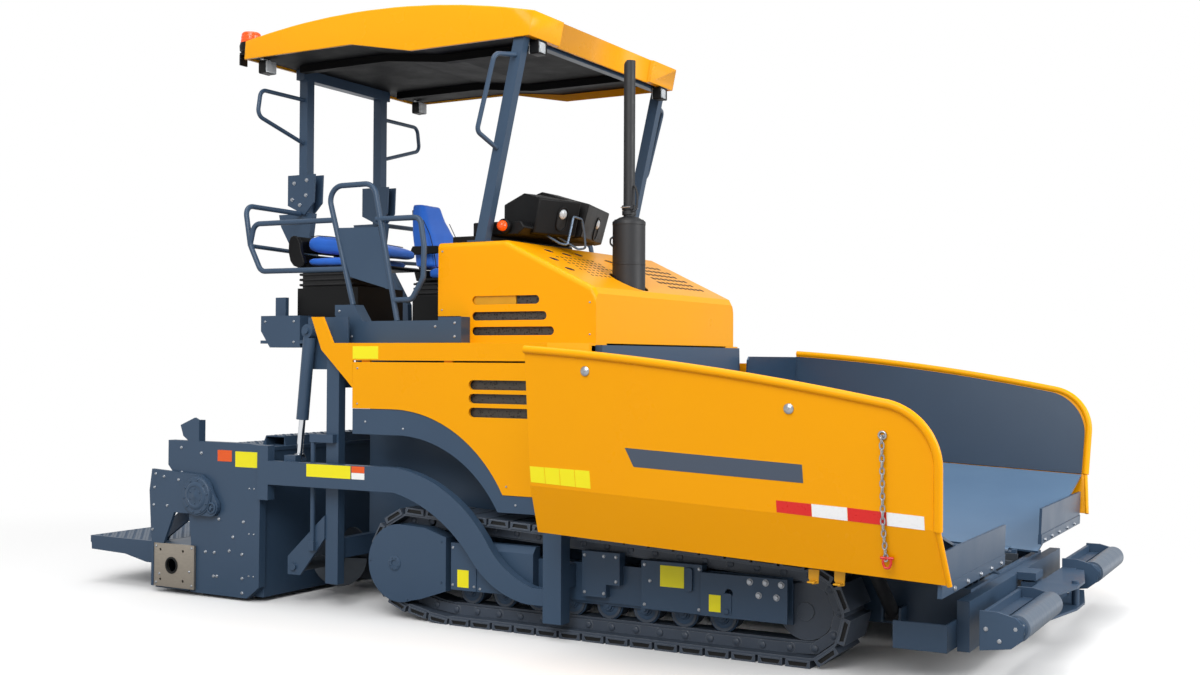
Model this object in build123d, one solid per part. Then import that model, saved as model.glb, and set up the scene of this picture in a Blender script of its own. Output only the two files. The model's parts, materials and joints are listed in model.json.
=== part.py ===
"""Tracked asphalt paver: hopper, tractor, operator platform with canopy, and screed.

Millimetres. X points forward, Y to the machine's left, Z up, ground at Z = 0.
One function makes each sub-part; what comes in a left and a right copy is made
on the left and mirrored.
"""
from math import asin, atan2, cos, degrees, hypot, pi, radians, sin
import os

from build123d import *

os.makedirs("parts", exist_ok=True)

# ------------------------------------------------------------ driving sizes
GAP = 0.3                    # running clearance between curved faces
SHEET = 6                    # covers and panels
LINER = 10                   # hopper liner

# crawler tracks
TRACK_IN, TRACK_OUT = 940, 1240
SPROCKET_X, SPROCKET_Z, SPROCKET_R = -400, 345, 300     # R to the shoes' faces
IDLER_X, IDLER_R = 1965, 260
REAR_ROLLER_X, REAR_ROLLER_R = -190, 230
CHAIN_HEIGHT = 115           # ground face of a shoe to the rail the rollers run on
SHOE_HEIGHT = 42
SHOE_COUNT = 43
SHOE_GAP = 16
CHAIN_WIDTH = 120
ROLLER_COUNT, ROLLER_X0, ROLLER_PITCH, ROLLER_R, ROLLER_W = 8, -52, 224, 72, 110

# main frame
SIDE_OUT, SIDE_T = 820, 25
FRAME_REAR, FRAME_FRONT = -1060, 2700
CONVEYOR_Y, CONVEYOR_Z = 380, 400
SLAT_PITCH, SLAT_H, SLAT_W = 260, 30, 50

# hopper
WING_X0, WING_LEN = 700, 2080
HINGE_Y, HINGE_Z = 430, 500
WING_SLOPE = 2.6             # degrees nose down
CREASE_Y, CREASE_Z = 1315, 370        # from the hinge line
WALL_LEAN = 9
WALL_REAR, WALL_MID, WALL_FRONT = 698, 640, 512   # wall heights from the crease
NOSE_R = 235
SKIRT_IN, SKIRT_DROP, SKIRT_LEAD = 95, 245, 35
RIM_R = 20
BACK_X, BACK_TOP, BACK_Y = 660, 1590, 950
APRON_H, APRON_T = 205, 14
REAR_WALL_TOP = 1035         # a wing's rear wall, from its hinge

# bodywork
BODY_Y = 1240
LEDGE_TOP, LEDGE_BOTTOM, LEDGE_CUT_X, LEDGE_CUT_Y = 1600, 1497, 500, 1019   # the cut corner's two ends
BODY_REAR, BODY_FRONT = -857, 690
HOOD_Y, HOOD_REAR, HOOD_FRONT = 946, -449, 640
HOOD_TOP, HOOD_NOSE, HOOD_STEP_X, HOOD_STEP_Z = 2203, 1890, -281, 1763
HOOD_BREAK_X, HOOD_EDGE_R = 28, 34
MUFFLER_X, MUFFLER_Y, MUFFLER_R, MUFFLER_Z1 = 490, -280, 100, 2358
PIPE_R, PIPE_TOP = 35, 3330

# operator's platform
DECK_Z, DECK_REAR, DECK_FRONT, DECK_Y = 1600, -1780, -455, 1040
SIDE_BOX_TOP, SIDE_BOX_LOW = 1838, 1736
RAIL_R, RAIL_TOP = 17, 2385

# canopy
ROOF_REAR, ROOF_FRONT, ROOF_Y = -2050, 207, 933
ROOF_SKIRT_Z = 3477
ROOF_DIP, ROOF_RISE_REAR, ROOF_RISE_FRONT, ROOF_CROWN_RISE = 89, 120, 54, 198
ROOF_DIP_Z = ROOF_SKIRT_Z - ROOF_DIP
ROOF_RECESS, ROOF_CORNER = 28, 345
ROOF_WALL = 14
LAMP_SEAT_Z = ROOF_SKIRT_Z - 40
REAR_POST_X, REAR_POST_Y, POST_W, HANDLE_R = -1975, 400, 70, 14
FRONT_POST_Y, FRONT_POST_X0, FRONT_POST_Z0, FRONT_POST_X1 = 880, -190, 2200, 110

# tow arms and screed
TOW_X, TOW_Z, TOW_PIN_R = 587, 225, 22
ARM_IN, ARM_OUT, ARM_REAR = 1262, 1322, -1530
SCREED_FRONT, SCREED_REAR, SCREED_Y, SCREED_BOTTOM, SCREED_TOP = -1545, -2100, 1240, 28, 960
SIDE_PLATE_T = 55
TUBE_X, TUBE_Z, TUBE_R = -2031, 638, 60
CAM_X, CAM_Z = -1917, 575
EXT_REAR, EXT_TOP = -2420, 317
END_T, END_X, END_Z, END_PORT_R = 16, -2262, 180, 42
END_BOLT_X, END_BOLT_Z, END_BOLT_R = 200, 190, 9
STEP_REAR, STEP_FRONT, STEP_Z = -3092, -2440, 310
HATCH_TOP, HATCH_Y = 1012, 1010

# lift cylinders
LIFT_X0, LIFT_Z0, LIFT_X1, LIFT_Z1, LIFT_Y = -1243, 1674, -1322, 888, 1180
LIFT_BARREL_R, LIFT_ROD_R, LIFT_BARREL_LEN, LIFT_EYE_W = 38, 20, 545, 50

# auger and push rollers
RAM_X, RAM_Y0, RAM_Z0, RAM_Y1, RAM_Z1 = 1640, 455, -185, 950, 200      # from the wing's hinge
RAM_R, RAM_ROD_R, RAM_PIN_R, RAM_BARREL_LEN = 34, 20, 16, 560
AUGER_X, AUGER_Z, AUGER_R, AUGER_SHAFT_R = -1320, 235, 180, 38
AUGER_Y0, AUGER_Y1, AUGER_PITCH, HANGER_X = 130, 1195, 300, -1165
PUSH_X, PUSH_Z, PUSH_R = 3031, 310, 61
PUSH_Y0, PUSH_Y1 = 583, 1317
PIVOT_X = 2800


# ------------------------------------------------------------------ helpers
def block(x0, x1, y0, y1, z0, z1):
    """A box between two corners."""
    return Pos((x0 + x1) / 2, (y0 + y1) / 2, (z0 + z1) / 2) * Box(abs(x1 - x0), abs(y1 - y0), abs(z1 - z0))


def slab_xz(points, y0, y1):
    """A side-view outline, thick from y0 to y1."""
    face = make_face(Polyline(*[(x, y0, z) for x, z in points], close=True))
    return extrude(face, amount=abs(y1 - y0), dir=(0, 1 if y1 > y0 else -1, 0))


def slab_yz(points, x0, x1):
    """A front-view outline, thick from x0 to x1."""
    face = make_face(Polyline(*[(x0, y, z) for y, z in points], close=True))
    return extrude(face, amount=abs(x1 - x0), dir=(1 if x1 > x0 else -1, 0, 0))


def slab_xy(points, z0, z1):
    """A plan outline, thick from z0 to z1."""
    face = make_face(Polyline(*[(x, y, z0) for x, y in points], close=True))
    return extrude(face, amount=abs(z1 - z0), dir=(0, 0, 1 if z1 > z0 else -1))


def rod(p, q, radius):
    """A round bar between two points."""
    line = Vector(*q) - Vector(*p)
    return extrude(Plane(origin=p, z_dir=line) * Circle(radius), amount=line.length)


def disc(x, z, radius, y0, y1):
    """A round piece across the machine."""
    return rod((x, min(y0, y1), z), (x, max(y0, y1), z), radius)


def bent_tube(points, radius, bend=60):
    """A tube bent along a route."""
    path = FilletPolyline(*points, radius=bend)
    start = Plane(origin=path @ 0, z_dir=path % 0)
    return sweep(start * Circle(radius), path=path)


def beam(p, q, wide, deep):
    """A straight square tube, wide across the machine and deep along it."""
    line = Vector(*q) - Vector(*p)
    across = Vector(0, 1, 0)
    return extrude(Plane(origin=p, x_dir=across, z_dir=line) * Rectangle(wide, deep), amount=line.length)


def other_side(shape):
    return mirror(shape, about=Plane.XZ)


def keep(name, shape):
    """Write one node; a list of solids that don't touch becomes one compound."""
    if isinstance(shape, (list, tuple)):
        solids = []
        for piece in shape:
            solids += piece.solids()
        shape = Compound(children=solids)
    export_step(shape, f"parts/{name}.step")


def keep_pair(name, shape):
    """Write the left-hand node and its mirror image."""
    keep(f"{name}_left", shape)
    if isinstance(shape, (list, tuple)):
        keep(f"{name}_right", [other_side(piece) for piece in shape])
    else:
        keep(f"{name}_right", other_side(shape))


def keep_both(name, shape):
    """Write one node with the left-hand solids and their mirror images."""
    pieces = shape if isinstance(shape, list) else [shape]
    keep(name, pieces + [other_side(piece) for piece in pieces])


# ------------------------------------------------------------ crawler track
def belt_circles():
    """Wheels that the belt lies round, anticlockwise from the rear, seen from the right."""
    return [
        (SPROCKET_X, SPROCKET_Z, SPROCKET_R),
        (REAR_ROLLER_X, REAR_ROLLER_R, REAR_ROLLER_R),
        (IDLER_X, IDLER_R, IDLER_R),
    ]


def belt_pieces(offset):
    """Lines and arcs of the belt, drawn in by offset from the shoes' faces."""
    wheels = [(x, z, r - offset) for x, z, r in belt_circles()]
    tangents = []
    for (x0, z0, r0), (x1, z1, r1) in zip(wheels, wheels[1:] + wheels[:1]):
        heading = atan2(z1 - z0, x1 - x0)
        side = heading - pi / 2 + asin((r0 - r1) / hypot(x1 - x0, z1 - z0))
        tangents.append((
            (x0 + r0 * cos(side), z0 + r0 * sin(side)),
            (x1 + r1 * cos(side), z1 + r1 * sin(side)),
            side,
        ))
    return wheels, tangents


def belt_stations(count):
    """Points and outward directions at equal steps along the shoes' ground face."""
    wheels, tangents = belt_pieces(SHOE_HEIGHT)
    runs = []
    for i, (wheel, tangent) in enumerate(zip(wheels, tangents)):
        start, end, side = tangent
        before = tangents[i - 1][2]
        turn = (side - before) % (2 * pi)
        runs.append(("arc", wheel, before, turn, wheel[2] * turn))
        runs.append(("line", start, end, side, hypot(end[0] - start[0], end[1] - start[1])))
    total = sum(run[-1] for run in runs)
    stations = []
    for k in range(count):
        s = total * k / count
        for run in runs:
            if s <= run[-1]:
                break
            s -= run[-1]
        if run[0] == "arc":
            (x, z, r), angle = run[1], run[2] + s / run[1][2]
            stations.append(((x + r * cos(angle), z + r * sin(angle)), angle))
        else:
            (x0, z0), (x1, z1), side, length = run[1], run[2], run[3], run[4]
            stations.append(((x0 + (x1 - x0) * s / length, z0 + (z1 - z0) * s / length), side))
    return stations, total


def track():
    """One closed belt: shoes with gaps between them outside, link rails inside."""
    shoes, length = belt_stations(SHOE_COUNT)
    pitch = length / SHOE_COUNT
    half = pitch / 2 - SHOE_GAP / 2
    outer, inner, rail_out, rail_in = [], [], [], []
    for (x, z), angle in shoes:
        out = (cos(angle), sin(angle))
        along = (-out[1], out[0])

        def at(n, t):
            return (x + out[0] * n + along[0] * t, z + out[1] * n + along[1] * t)

        outer += [at(4, -half), at(SHOE_HEIGHT, -half), at(SHOE_HEIGHT, half), at(4, half)]
        inner += [at(-8, -half), at(-8, half)]
        deep = SHOE_HEIGHT - CHAIN_HEIGHT
        rail_out += [at(-2, -half), at(-2, half)]
        rail_in += [at(deep, -half * 0.5), at(deep, half * 0.5)]
    belt = slab_xz(outer, TRACK_IN, TRACK_OUT) - slab_xz(inner, TRACK_IN - 1, TRACK_OUT + 1)
    middle = (TRACK_IN + TRACK_OUT) / 2
    chain = slab_xz(rail_out, middle - CHAIN_WIDTH / 2, middle + CHAIN_WIDTH / 2)
    chain -= slab_xz(rail_in, middle - CHAIN_WIDTH, middle + CHAIN_WIDTH)
    return belt + chain


def track_frame():
    """Roller frame with its outer side plates, and the guard over the final drive."""
    z0, z1 = 190, 395
    middle = (TRACK_IN + TRACK_OUT) / 2
    cheek = ROLLER_W / 2 + 8
    frame = block(-170, 1700, middle - cheek - 15, middle - cheek, z0, z1)
    frame += block(-170, 1905, middle + cheek, middle + cheek + 15, z0, z1)
    frame += block(-170, 1690, middle - cheek - 1, middle + cheek + 1, 265, z1)
    cover = disc(-480, 325, 225, TRACK_OUT + 12, TRACK_OUT + 24)
    cover += slab_xz([(-480, 100), (-330, 130), (-150, 190), (-150, 495), (-300, 540), (-480, 550)],
                     TRACK_OUT + 12, TRACK_OUT + 24)
    cover += slab_xz([(-480, 550), (-300, 540), (-150, 495), (-150, 487), (-300, 532), (-480, 542)],
                     TRACK_OUT - 75, TRACK_OUT + 13)
    cover += block(-162, -150, middle + cheek + 14, TRACK_OUT + 13, 190, 488)
    side_box = block(-125, 47, middle + cheek + 14, TRACK_OUT + 8, 203, 468)
    side_box += slab_yz([(middle + cheek + 14, 203), (TRACK_OUT + 2, 203), (TRACK_OUT + 2, 440), (TRACK_OUT - 28, 476),
                         (middle + cheek + 14, 476)], 46, 420)
    side_box += block(-162, 1600, middle + cheek + 14, middle + cheek + 30, 205, 410)
    side_box += block(722, 869, middle + cheek + 14, TRACK_OUT - 12, 240, 482)
    side_box += block(868, 952, middle + cheek + 14, TRACK_OUT - 12, 310, 482)
    side_box += block(1081, 1432, middle + cheek + 14, TRACK_OUT - 14, 205, 458)
    front = block(1431, 1905, middle + cheek + 14, TRACK_OUT + 4, 205, 425)
    front -= block(1445, 1920, middle + cheek + 16, TRACK_OUT - 8, 100, 600)
    front -= disc(1590, 330, 22, TRACK_OUT - 30, TRACK_OUT + 10)
    arms = [block(x, x + 220, SIDE_OUT, middle - cheek - 14, 240, 400) for x in (60, 1180)]
    body = frame + cover + side_box + front
    for arm in arms:
        body += arm
    return body


def track_wheels():
    """Sprocket, idler and bottom rollers."""
    middle = (TRACK_IN + TRACK_OUT) / 2
    lo, hi = middle - ROLLER_W / 2, middle + ROLLER_W / 2
    wheels = []
    sprocket = disc(SPROCKET_X, SPROCKET_Z, SPROCKET_R - CHAIN_HEIGHT - 1, middle - 30, middle + 30)
    sprocket += disc(SPROCKET_X, SPROCKET_Z, 120, SIDE_OUT, TRACK_OUT + 12)
    wheels.append(sprocket)
    idler = disc(IDLER_X, IDLER_R, IDLER_R - CHAIN_HEIGHT - 1, lo, hi)
    idler += disc(IDLER_X, IDLER_R, 45, lo - 8, hi + 8)
    wheels.append(idler)
    for k in range(ROLLER_COUNT):
        x = ROLLER_X0 + k * ROLLER_PITCH
        z = CHAIN_HEIGHT + ROLLER_R + 0.5
        wheels.append(disc(x, z, ROLLER_R, lo, hi) + disc(x, z, 24, lo - 8, hi + 8))
    return wheels


# --------------------------------------------------------------- main frame
def chassis():
    """Two side plates from the rear column to the front cross plate, and what ties them."""
    outline = [(FRAME_REAR, 180), (FRAME_FRONT, 180), (FRAME_FRONT, 385), (BACK_X + 40, 480), (BACK_X - 20, 490),
               (BACK_X - 20, 1490), (-857, 1590), (-1180, 1590), (-1180, 1300), (FRAME_REAR, 1240)]
    side = slab_xz(outline, SIDE_OUT - SIDE_T, SIDE_OUT)
    frame = side + other_side(side)
    for x in (-1040, -400, 500, 1500, 2500):
        frame += block(x, x + 60, -SIDE_OUT, SIDE_OUT, 182, 330)
    frame += block(FRAME_FRONT - 30, FRAME_FRONT, -SIDE_OUT, SIDE_OUT, 182, 385)
    frame += block(-500, -420, -SIDE_OUT, SIDE_OUT, 700, 780)
    frame += block(520, 600, -SIDE_OUT, SIDE_OUT, 700, 780)
    frame += ram_clevis() + other_side(ram_clevis())
    return frame


def rear_columns():
    """Columns behind the tracks that carry the lift cylinders and the auger."""
    column = block(-1080, -985, LIFT_Y - 30, LIFT_Y + 30, 150, 1500)
    column += block(-1060, -1000, SIDE_OUT, LIFT_Y - 29, 1330, 1450)
    column += block(-1060, -1000, SIDE_OUT, LIFT_Y - 29, 300, 420)
    column += block(-1300, -985, LIFT_Y - 62, LIFT_Y - 48, 1440, 1760)
    column += block(-1080, -985, LIFT_Y - 49, LIFT_Y - 29, 1440, 1500)
    column += disc(LIFT_X0, LIFT_Z0, 18, LIFT_Y - 50, LIFT_Y + 45)
    return column


def conveyor_floor():
    """Floor of both conveyors with its middle rail, from the hopper to the auger."""
    floor = block(-1150, FRAME_FRONT - 40, -CONVEYOR_Y, CONVEYOR_Y, CONVEYOR_Z - 60, CONVEYOR_Z - 45)
    floor += block(-1150, FRAME_FRONT - 40, -30, 30, CONVEYOR_Z - 46, CONVEYOR_Z + 15)
    floor += block(-1150, FRAME_FRONT - 40, CONVEYOR_Y - 1, CONVEYOR_Y + 14, CONVEYOR_Z - 60, CONVEYOR_Z + 12)
    floor += block(-1150, FRAME_FRONT - 40, -CONVEYOR_Y - 14, -CONVEYOR_Y + 1, CONVEYOR_Z - 60, CONVEYOR_Z + 12)
    for x in (-1035, -395, 505, 1505, 2505):
        floor += block(x, x + 50, -200, 200, 330, CONVEYOR_Z - 59)
    return floor


def conveyor_slats():
    """Slats of the two conveyors, each row on its own pair of chains."""
    slats = []
    for y0, y1 in ((35, CONVEYOR_Y - 6), (-CONVEYOR_Y + 6, -35)):
        chains = block(-1120, FRAME_FRONT - 60, y0 + 10, y0 + 50, CONVEYOR_Z - 45, CONVEYOR_Z - 25)
        chains += block(-1120, FRAME_FRONT - 60, y1 - 50, y1 - 10, CONVEYOR_Z - 45, CONVEYOR_Z - 25)
        x = -1100
        while x < FRAME_FRONT - 120:
            chains += block(x, x + SLAT_W, y0, y1, CONVEYOR_Z - 44, CONVEYOR_Z - 44 + SLAT_H)
            x += SLAT_PITCH
        slats.append(chains)
    return slats


def hopper_back():
    """Wall between hopper and engine, over the conveyor tunnel."""
    wall = slab_xz([(BACK_X - 20, BACK_TOP), (BACK_X + 24, BACK_TOP), (BACK_X + 30, 1300),
                    (BACK_X + 30, 640), (BACK_X - 20, 640)], -BACK_Y, BACK_Y)
    side = block(BACK_X - 20, BACK_X + 30, CONVEYOR_Y + 20, SIDE_OUT + 60, 500, 641)
    return wall + side + other_side(side)


def engine():
    return block(-260, 560, -480, 480, 780, 1800)


# ------------------------------------------------------------- hopper wings
def wing_place(shape):
    """From the wing's own frame, hinge line at its origin, into the machine."""
    return Pos(WING_X0, HINGE_Y, HINGE_Z) * Rot(0, WING_SLOPE, 0) * shape


def wall_outline(inset):
    """Side outline of the wing's wall in its own leaning plane."""
    top_rear = (0, WALL_REAR - inset)
    corner = (WING_LEN - inset, WALL_FRONT - inset)
    foot = (WING_LEN - inset, 0)
    arc_end = (WING_LEN - NOSE_R - 10, WALL_FRONT + 36 - inset)
    crown = ThreePointArc(top_rear, (WING_LEN * 0.5, WALL_MID + 2 - inset), arc_end)
    nose = ThreePointArc(arc_end, (WING_LEN - NOSE_R * 0.3 - inset, WALL_FRONT - NOSE_R * 0.22 - inset),
                         (corner[0], WALL_FRONT - NOSE_R - inset))
    return crown, nose, foot


def wall_plane():
    """Plane of the wall: x along the wing, y up the wall, origin on the crease."""
    lean = radians(WALL_LEAN)
    return Plane(origin=(0, CREASE_Y, CREASE_Z), x_dir=(1, 0, 0), z_dir=(0, -cos(lean), sin(lean)))


def wall_sheet(thick, lift, inset):
    """The wall as a flat sheet, lift inwards of the outer face."""
    crown, nose, foot = wall_outline(inset)
    sides = [crown, nose, Line(nose @ 1, foot), Line(foot, (0, 0)), Line((0, 0), crown @ 0)]
    sheet = extrude(make_face(Wire(sides)), amount=thick)
    return wall_plane() * (Pos(0, 0, lift) * sheet)


def wing_skin():
    """Outer sheet of the wing: leaning wall, skirt below the crease, rolled rim."""
    wall = wall_sheet(SHEET, 0, 0)
    skirt = slab_yz([(CREASE_Y, CREASE_Z + 1), (CREASE_Y - SKIRT_IN, CREASE_Z - SKIRT_DROP),
                     (CREASE_Y - SKIRT_IN - SHEET, CREASE_Z - SKIRT_DROP + 2),
                     (CREASE_Y - SHEET, CREASE_Z - 1)], 0, WING_LEN + SKIRT_LEAD)
    low = CREASE_Z - SKIRT_DROP
    skirt -= slab_xz([(WING_LEN, CREASE_Z + 5), (WING_LEN + SKIRT_LEAD, low - 1), (WING_LEN + SKIRT_LEAD + 9, low - 1),
                      (WING_LEN + SKIRT_LEAD + 9, CREASE_Z + 5)], 0, CREASE_Y + 50)
    crown, nose, foot = wall_outline(0)
    path = Wire([crown, nose, Line(nose @ 1, foot)])
    path = wall_plane() * path
    start = Plane(origin=path @ 0, z_dir=path % 0)
    rim = sweep(start * Circle(RIM_R), path=path)
    rim += rod((WING_LEN, CREASE_Y, CREASE_Z), (WING_LEN + SKIRT_LEAD, CREASE_Y - SKIRT_IN, low), RIM_R * 0.6)
    return wing_place(wall + skirt + rim)


def wing_liner():
    """Inner wear sheet: floor from the hinge to the crease, wall lining and rear wall."""
    rise = CREASE_Z / CREASE_Y
    floor = slab_yz([(30, 30 * rise), (CREASE_Y - SHEET - 16, CREASE_Z - 15), (CREASE_Y - SHEET - 16, CREASE_Z - 3),
                     (30, 30 * rise + LINER)], 0, WING_LEN - 22)
    lining = wall_sheet(LINER, SHEET, 24)
    rear = slab_yz([(40, 40 * rise + 5), (CREASE_Y - SHEET - 6, CREASE_Z + 4), (CREASE_Y + 90, REAR_WALL_TOP),
                    (525, REAR_WALL_TOP), (500, REAR_WALL_TOP - 25), (500, 900), (60, 600)], 0, LINER)
    knuckles = [rod((x, 0, 0), (x + 160, 0, 0), 24) for x in (60, 700, 1340, 1740)]
    body = floor + lining + rear + wing_ears()
    for knuckle in knuckles:
        body += knuckle
    for x in (60, 700, 1340, 1740):
        body += slab_yz([(0, -20), (60, 60 * rise), (60, 60 * rise + LINER), (0, 20)], x, x + 160)
    body -= rod((-50, 0, 0), (WING_LEN + 50, 0, 0), 13 + GAP)
    return wing_place(body)


def wing_apron():
    """Cross plate at the front of a wing that keeps the mix off the push beam."""
    plate = block(WING_LEN - 20, WING_LEN - 20 + APRON_T, 15, CREASE_Y - SKIRT_IN - 20, 60, 60 + APRON_H)
    plate += block(WING_LEN - 22, WING_LEN - 2, 15, CREASE_Y - SKIRT_IN - 20, 60, 115)
    return wing_place(plate)


def hinge_rods():
    """Rods that the wings turn on, in lugs on the side plates."""
    hinge = rod((25, 0, 0), (1945, 0, 0), 13)
    inner_face = SIDE_OUT - SIDE_T - HINGE_Y
    for x in (20, 400, 1080, 1700, 1920):
        hinge += block(x, x + 25, -20, 20, -62, 18)
        hinge += block(x, x + 25, -20, inner_face, -100, -55)
    return wing_place(hinge)


# ----------------------------------------------------------------- bodywork
def side_panel():
    """Lower side panel over the arch, with three louvre slots."""
    edges = [
        Line((BODY_REAR, 1487), (BODY_FRONT, 1487)),
        Line((BODY_FRONT, 1487), (BODY_FRONT, 752)),
        Line((BODY_FRONT, 752), (215, 752)),
        ThreePointArc((215, 752), (-105, 1085), (-560, 1212)),
        Line((-560, 1212), (BODY_REAR, 1212)),
        Line((BODY_REAR, 1212), (BODY_REAR, 1487)),
    ]
    face = Plane.XZ.offset(-BODY_Y) * make_face(Wire(edges))
    panel = extrude(face, amount=SHEET * 3)
    for z in (1362, 1285, 1207):
        slot = block(10, 560, BODY_Y - 60, BODY_Y + 10, z - 27, z + 27)
        slot += disc(10, z, 27, BODY_Y - 60, BODY_Y + 10) + disc(560, z, 27, BODY_Y - 60, BODY_Y + 10)
        panel -= slot
    for x in (-800, -200, LEDGE_CUT_X - 80):
        panel += block(x, x + 60, BODY_Y - 35, BODY_Y - 15, 1440, 1530)
    return panel


def fender():
    """Dark band round the arch and the sheet over the track."""
    edges = [
        Line((BODY_REAR, 1210), (-560, 1210)),
        ThreePointArc((-560, 1210), (-107, 1083), (213, 750)),
        Line((213, 750), (BODY_FRONT, 750)),
        Line((BODY_FRONT, 750), (BODY_FRONT, 655)),
        Line((BODY_FRONT, 655), (180, 655)),
        ThreePointArc((180, 655), (-105, 945), (-560, 1060)),
        Line((-560, 1060), (BODY_REAR, 1060)),
        Line((BODY_REAR, 1060), (BODY_REAR, 1210)),
    ]
    band = extrude(Plane.XZ.offset(-(BODY_Y - 3)) * make_face(Wire(edges)), amount=SHEET * 2)
    sheet_edges = [
        ThreePointArc((180, 690), (-105, 975), (-560, 1090)),
        Line((-560, 1090), (BODY_REAR, 1090)),
        Line((BODY_REAR, 1090), (BODY_REAR, 1075)),
        Line((BODY_REAR, 1075), (-560, 1075)),
        ThreePointArc((-560, 1075), (-105, 960), (180, 675)),
        Line((180, 675), (180, 690)),
    ]
    sheet = extrude(Plane.XZ.offset(-(BODY_Y - 10)) * make_face(Wire(sheet_edges)), amount=BODY_Y - 10 - SIDE_OUT)
    return band + sheet


def ledge():
    """Yellow strip above the split line, its top plate in to the hood, and the rear cheek."""
    front, bend = BACK_X - 20, LEDGE_CUT_X - 8
    strip = slab_xy([(BODY_REAR - 1, BODY_Y), (LEDGE_CUT_X, BODY_Y), (front, LEDGE_CUT_Y), (front, LEDGE_CUT_Y - 28),
                     (bend, BODY_Y - 15), (BODY_REAR - 1, BODY_Y - 15)], LEDGE_BOTTOM, LEDGE_TOP)
    strip += slab_xy([(BODY_REAR, SIDE_OUT), (front, SIDE_OUT), (front, LEDGE_CUT_Y - 26), (bend, BODY_Y - 14),
                      (BODY_REAR, BODY_Y - 14)], LEDGE_TOP - 15, LEDGE_TOP)
    cheek = slab_xz([(-1180, 1758), (-1090, 1758), (-1010, 1600), (BODY_REAR - 1, 1600), (BODY_REAR - 1, 1334), (-905, 1380),
                     (-1100, 1560)], BODY_Y - 15, BODY_Y)
    return strip + cheek


def soft_sides(shape, radius):
    """Round the long edges where the top and the nose turn down into the sides."""
    def edge_line(edge):
        a, b = edge @ 0, edge @ 1
        return abs(a.Y - b.Y) < 1 and min(a.Z, b.Z) > LEDGE_TOP - 60 and edge.center().X > HOOD_REAR + 20 \
            and edge.center().Z > HOOD_STEP_Z and abs(a.X - b.X) > 2
    return fillet([edge for edge in shape.edges() if edge_line(edge)], radius)


def hood():
    """Engine hood: a folded shell, open below, louvred and pierced."""
    outline = [(HOOD_REAR, HOOD_STEP_Z), (HOOD_REAR, HOOD_TOP), (HOOD_BREAK_X, HOOD_TOP), (HOOD_FRONT - 20, HOOD_NOSE + 28),
               (HOOD_FRONT, HOOD_NOSE - 10), (HOOD_FRONT, LEDGE_TOP), (HOOD_STEP_X, LEDGE_TOP),
               (HOOD_STEP_X, HOOD_STEP_Z)]
    shell = soft_sides(slab_xz(outline, -HOOD_Y, HOOD_Y), HOOD_EDGE_R)
    inner = [(HOOD_REAR + SHEET, HOOD_STEP_Z - 50), (HOOD_REAR + SHEET, HOOD_TOP - SHEET),
             (HOOD_BREAK_X - 2, HOOD_TOP - SHEET), (HOOD_FRONT - 26, HOOD_NOSE + 22),
             (HOOD_FRONT - SHEET, HOOD_NOSE - 14), (HOOD_FRONT - SHEET, LEDGE_TOP - 50),
             (HOOD_STEP_X + SHEET, LEDGE_TOP - 50), (HOOD_STEP_X + SHEET, HOOD_STEP_Z - 50)]
    shell -= soft_sides(slab_xz(inner, -HOOD_Y + SHEET, HOOD_Y - SHEET), HOOD_EDGE_R - SHEET)
    for k, z in enumerate((1853, 1760, 1672)):
        x0, x1 = -175, 240 + k * 50
        slot = block(x0, x1, -HOOD_Y - 10, HOOD_Y + 10, z - 25, z + 25)
        slot += disc(x0, z, 25, -HOOD_Y - 10, HOOD_Y + 10) + disc(x1, z, 25, -HOOD_Y - 10, HOOD_Y + 10)
        shell -= slot
    shell -= rod((MUFFLER_X, MUFFLER_Y, 1700), (MUFFLER_X, MUFFLER_Y, 2300), MUFFLER_R + 20)
    return shell


def exhaust():
    """Muffler through the hood and its straight stack, cut slanting at the top."""
    stack = rod((MUFFLER_X, MUFFLER_Y, 1800), (MUFFLER_X, MUFFLER_Y, MUFFLER_Z1 - 12), MUFFLER_R)
    stack += rod((MUFFLER_X, MUFFLER_Y, MUFFLER_Z1 - 13), (MUFFLER_X, MUFFLER_Y, MUFFLER_Z1), MUFFLER_R - 10)
    stack += rod((MUFFLER_X, MUFFLER_Y, MUFFLER_Z1 - 1), (MUFFLER_X, MUFFLER_Y, PIPE_TOP), PIPE_R)
    stack += rod((MUFFLER_X, MUFFLER_Y, MUFFLER_Z1 + 30), (MUFFLER_X, MUFFLER_Y, MUFFLER_Z1 + 55), PIPE_R + 8)
    cut = Pos(MUFFLER_X, MUFFLER_Y, PIPE_TOP) * Rot(0, -40, 0) * Pos(0, 0, 100) * Box(300, 200, 200)
    return stack - cut


# ------------------------------------------------------ operator's platform
def platform():
    """Deck and the boxes under it."""
    deck = block(DECK_REAR, DECK_FRONT, -DECK_Y, DECK_Y, DECK_Z, DECK_Z + 20)
    side = slab_xz([(-1166, SIDE_BOX_TOP), (-1166, 1776), (-1044, 1604), (-214, 1604), (-214, SIDE_BOX_LOW + 20),
                    (-380, SIDE_BOX_LOW + 20), (-380, SIDE_BOX_LOW), (-947, SIDE_BOX_LOW), (-1015, SIDE_BOX_TOP)],
                   DECK_Y - 90, DECK_Y)
    rear = slab_xz([(-1777, 1777), (-1777, 1680), (-1700, DECK_Z - 25), (-1450, DECK_Z - 25), (-1450, 1777)],
                   DECK_Y - 120, DECK_Y)
    deck += side + other_side(side) + rear + other_side(rear)
    for y in (880, -910):
        deck += block(-1774, -1688, y, y + 30, DECK_Z + 19, 1900)
    deck += block(-1200, -880, -SIDE_OUT, -SIDE_OUT + 60, 1590, DECK_Z + 3)
    deck += block(-1200, -880, SIDE_OUT - 60, SIDE_OUT, 1590, DECK_Z + 3)
    return deck


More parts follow.
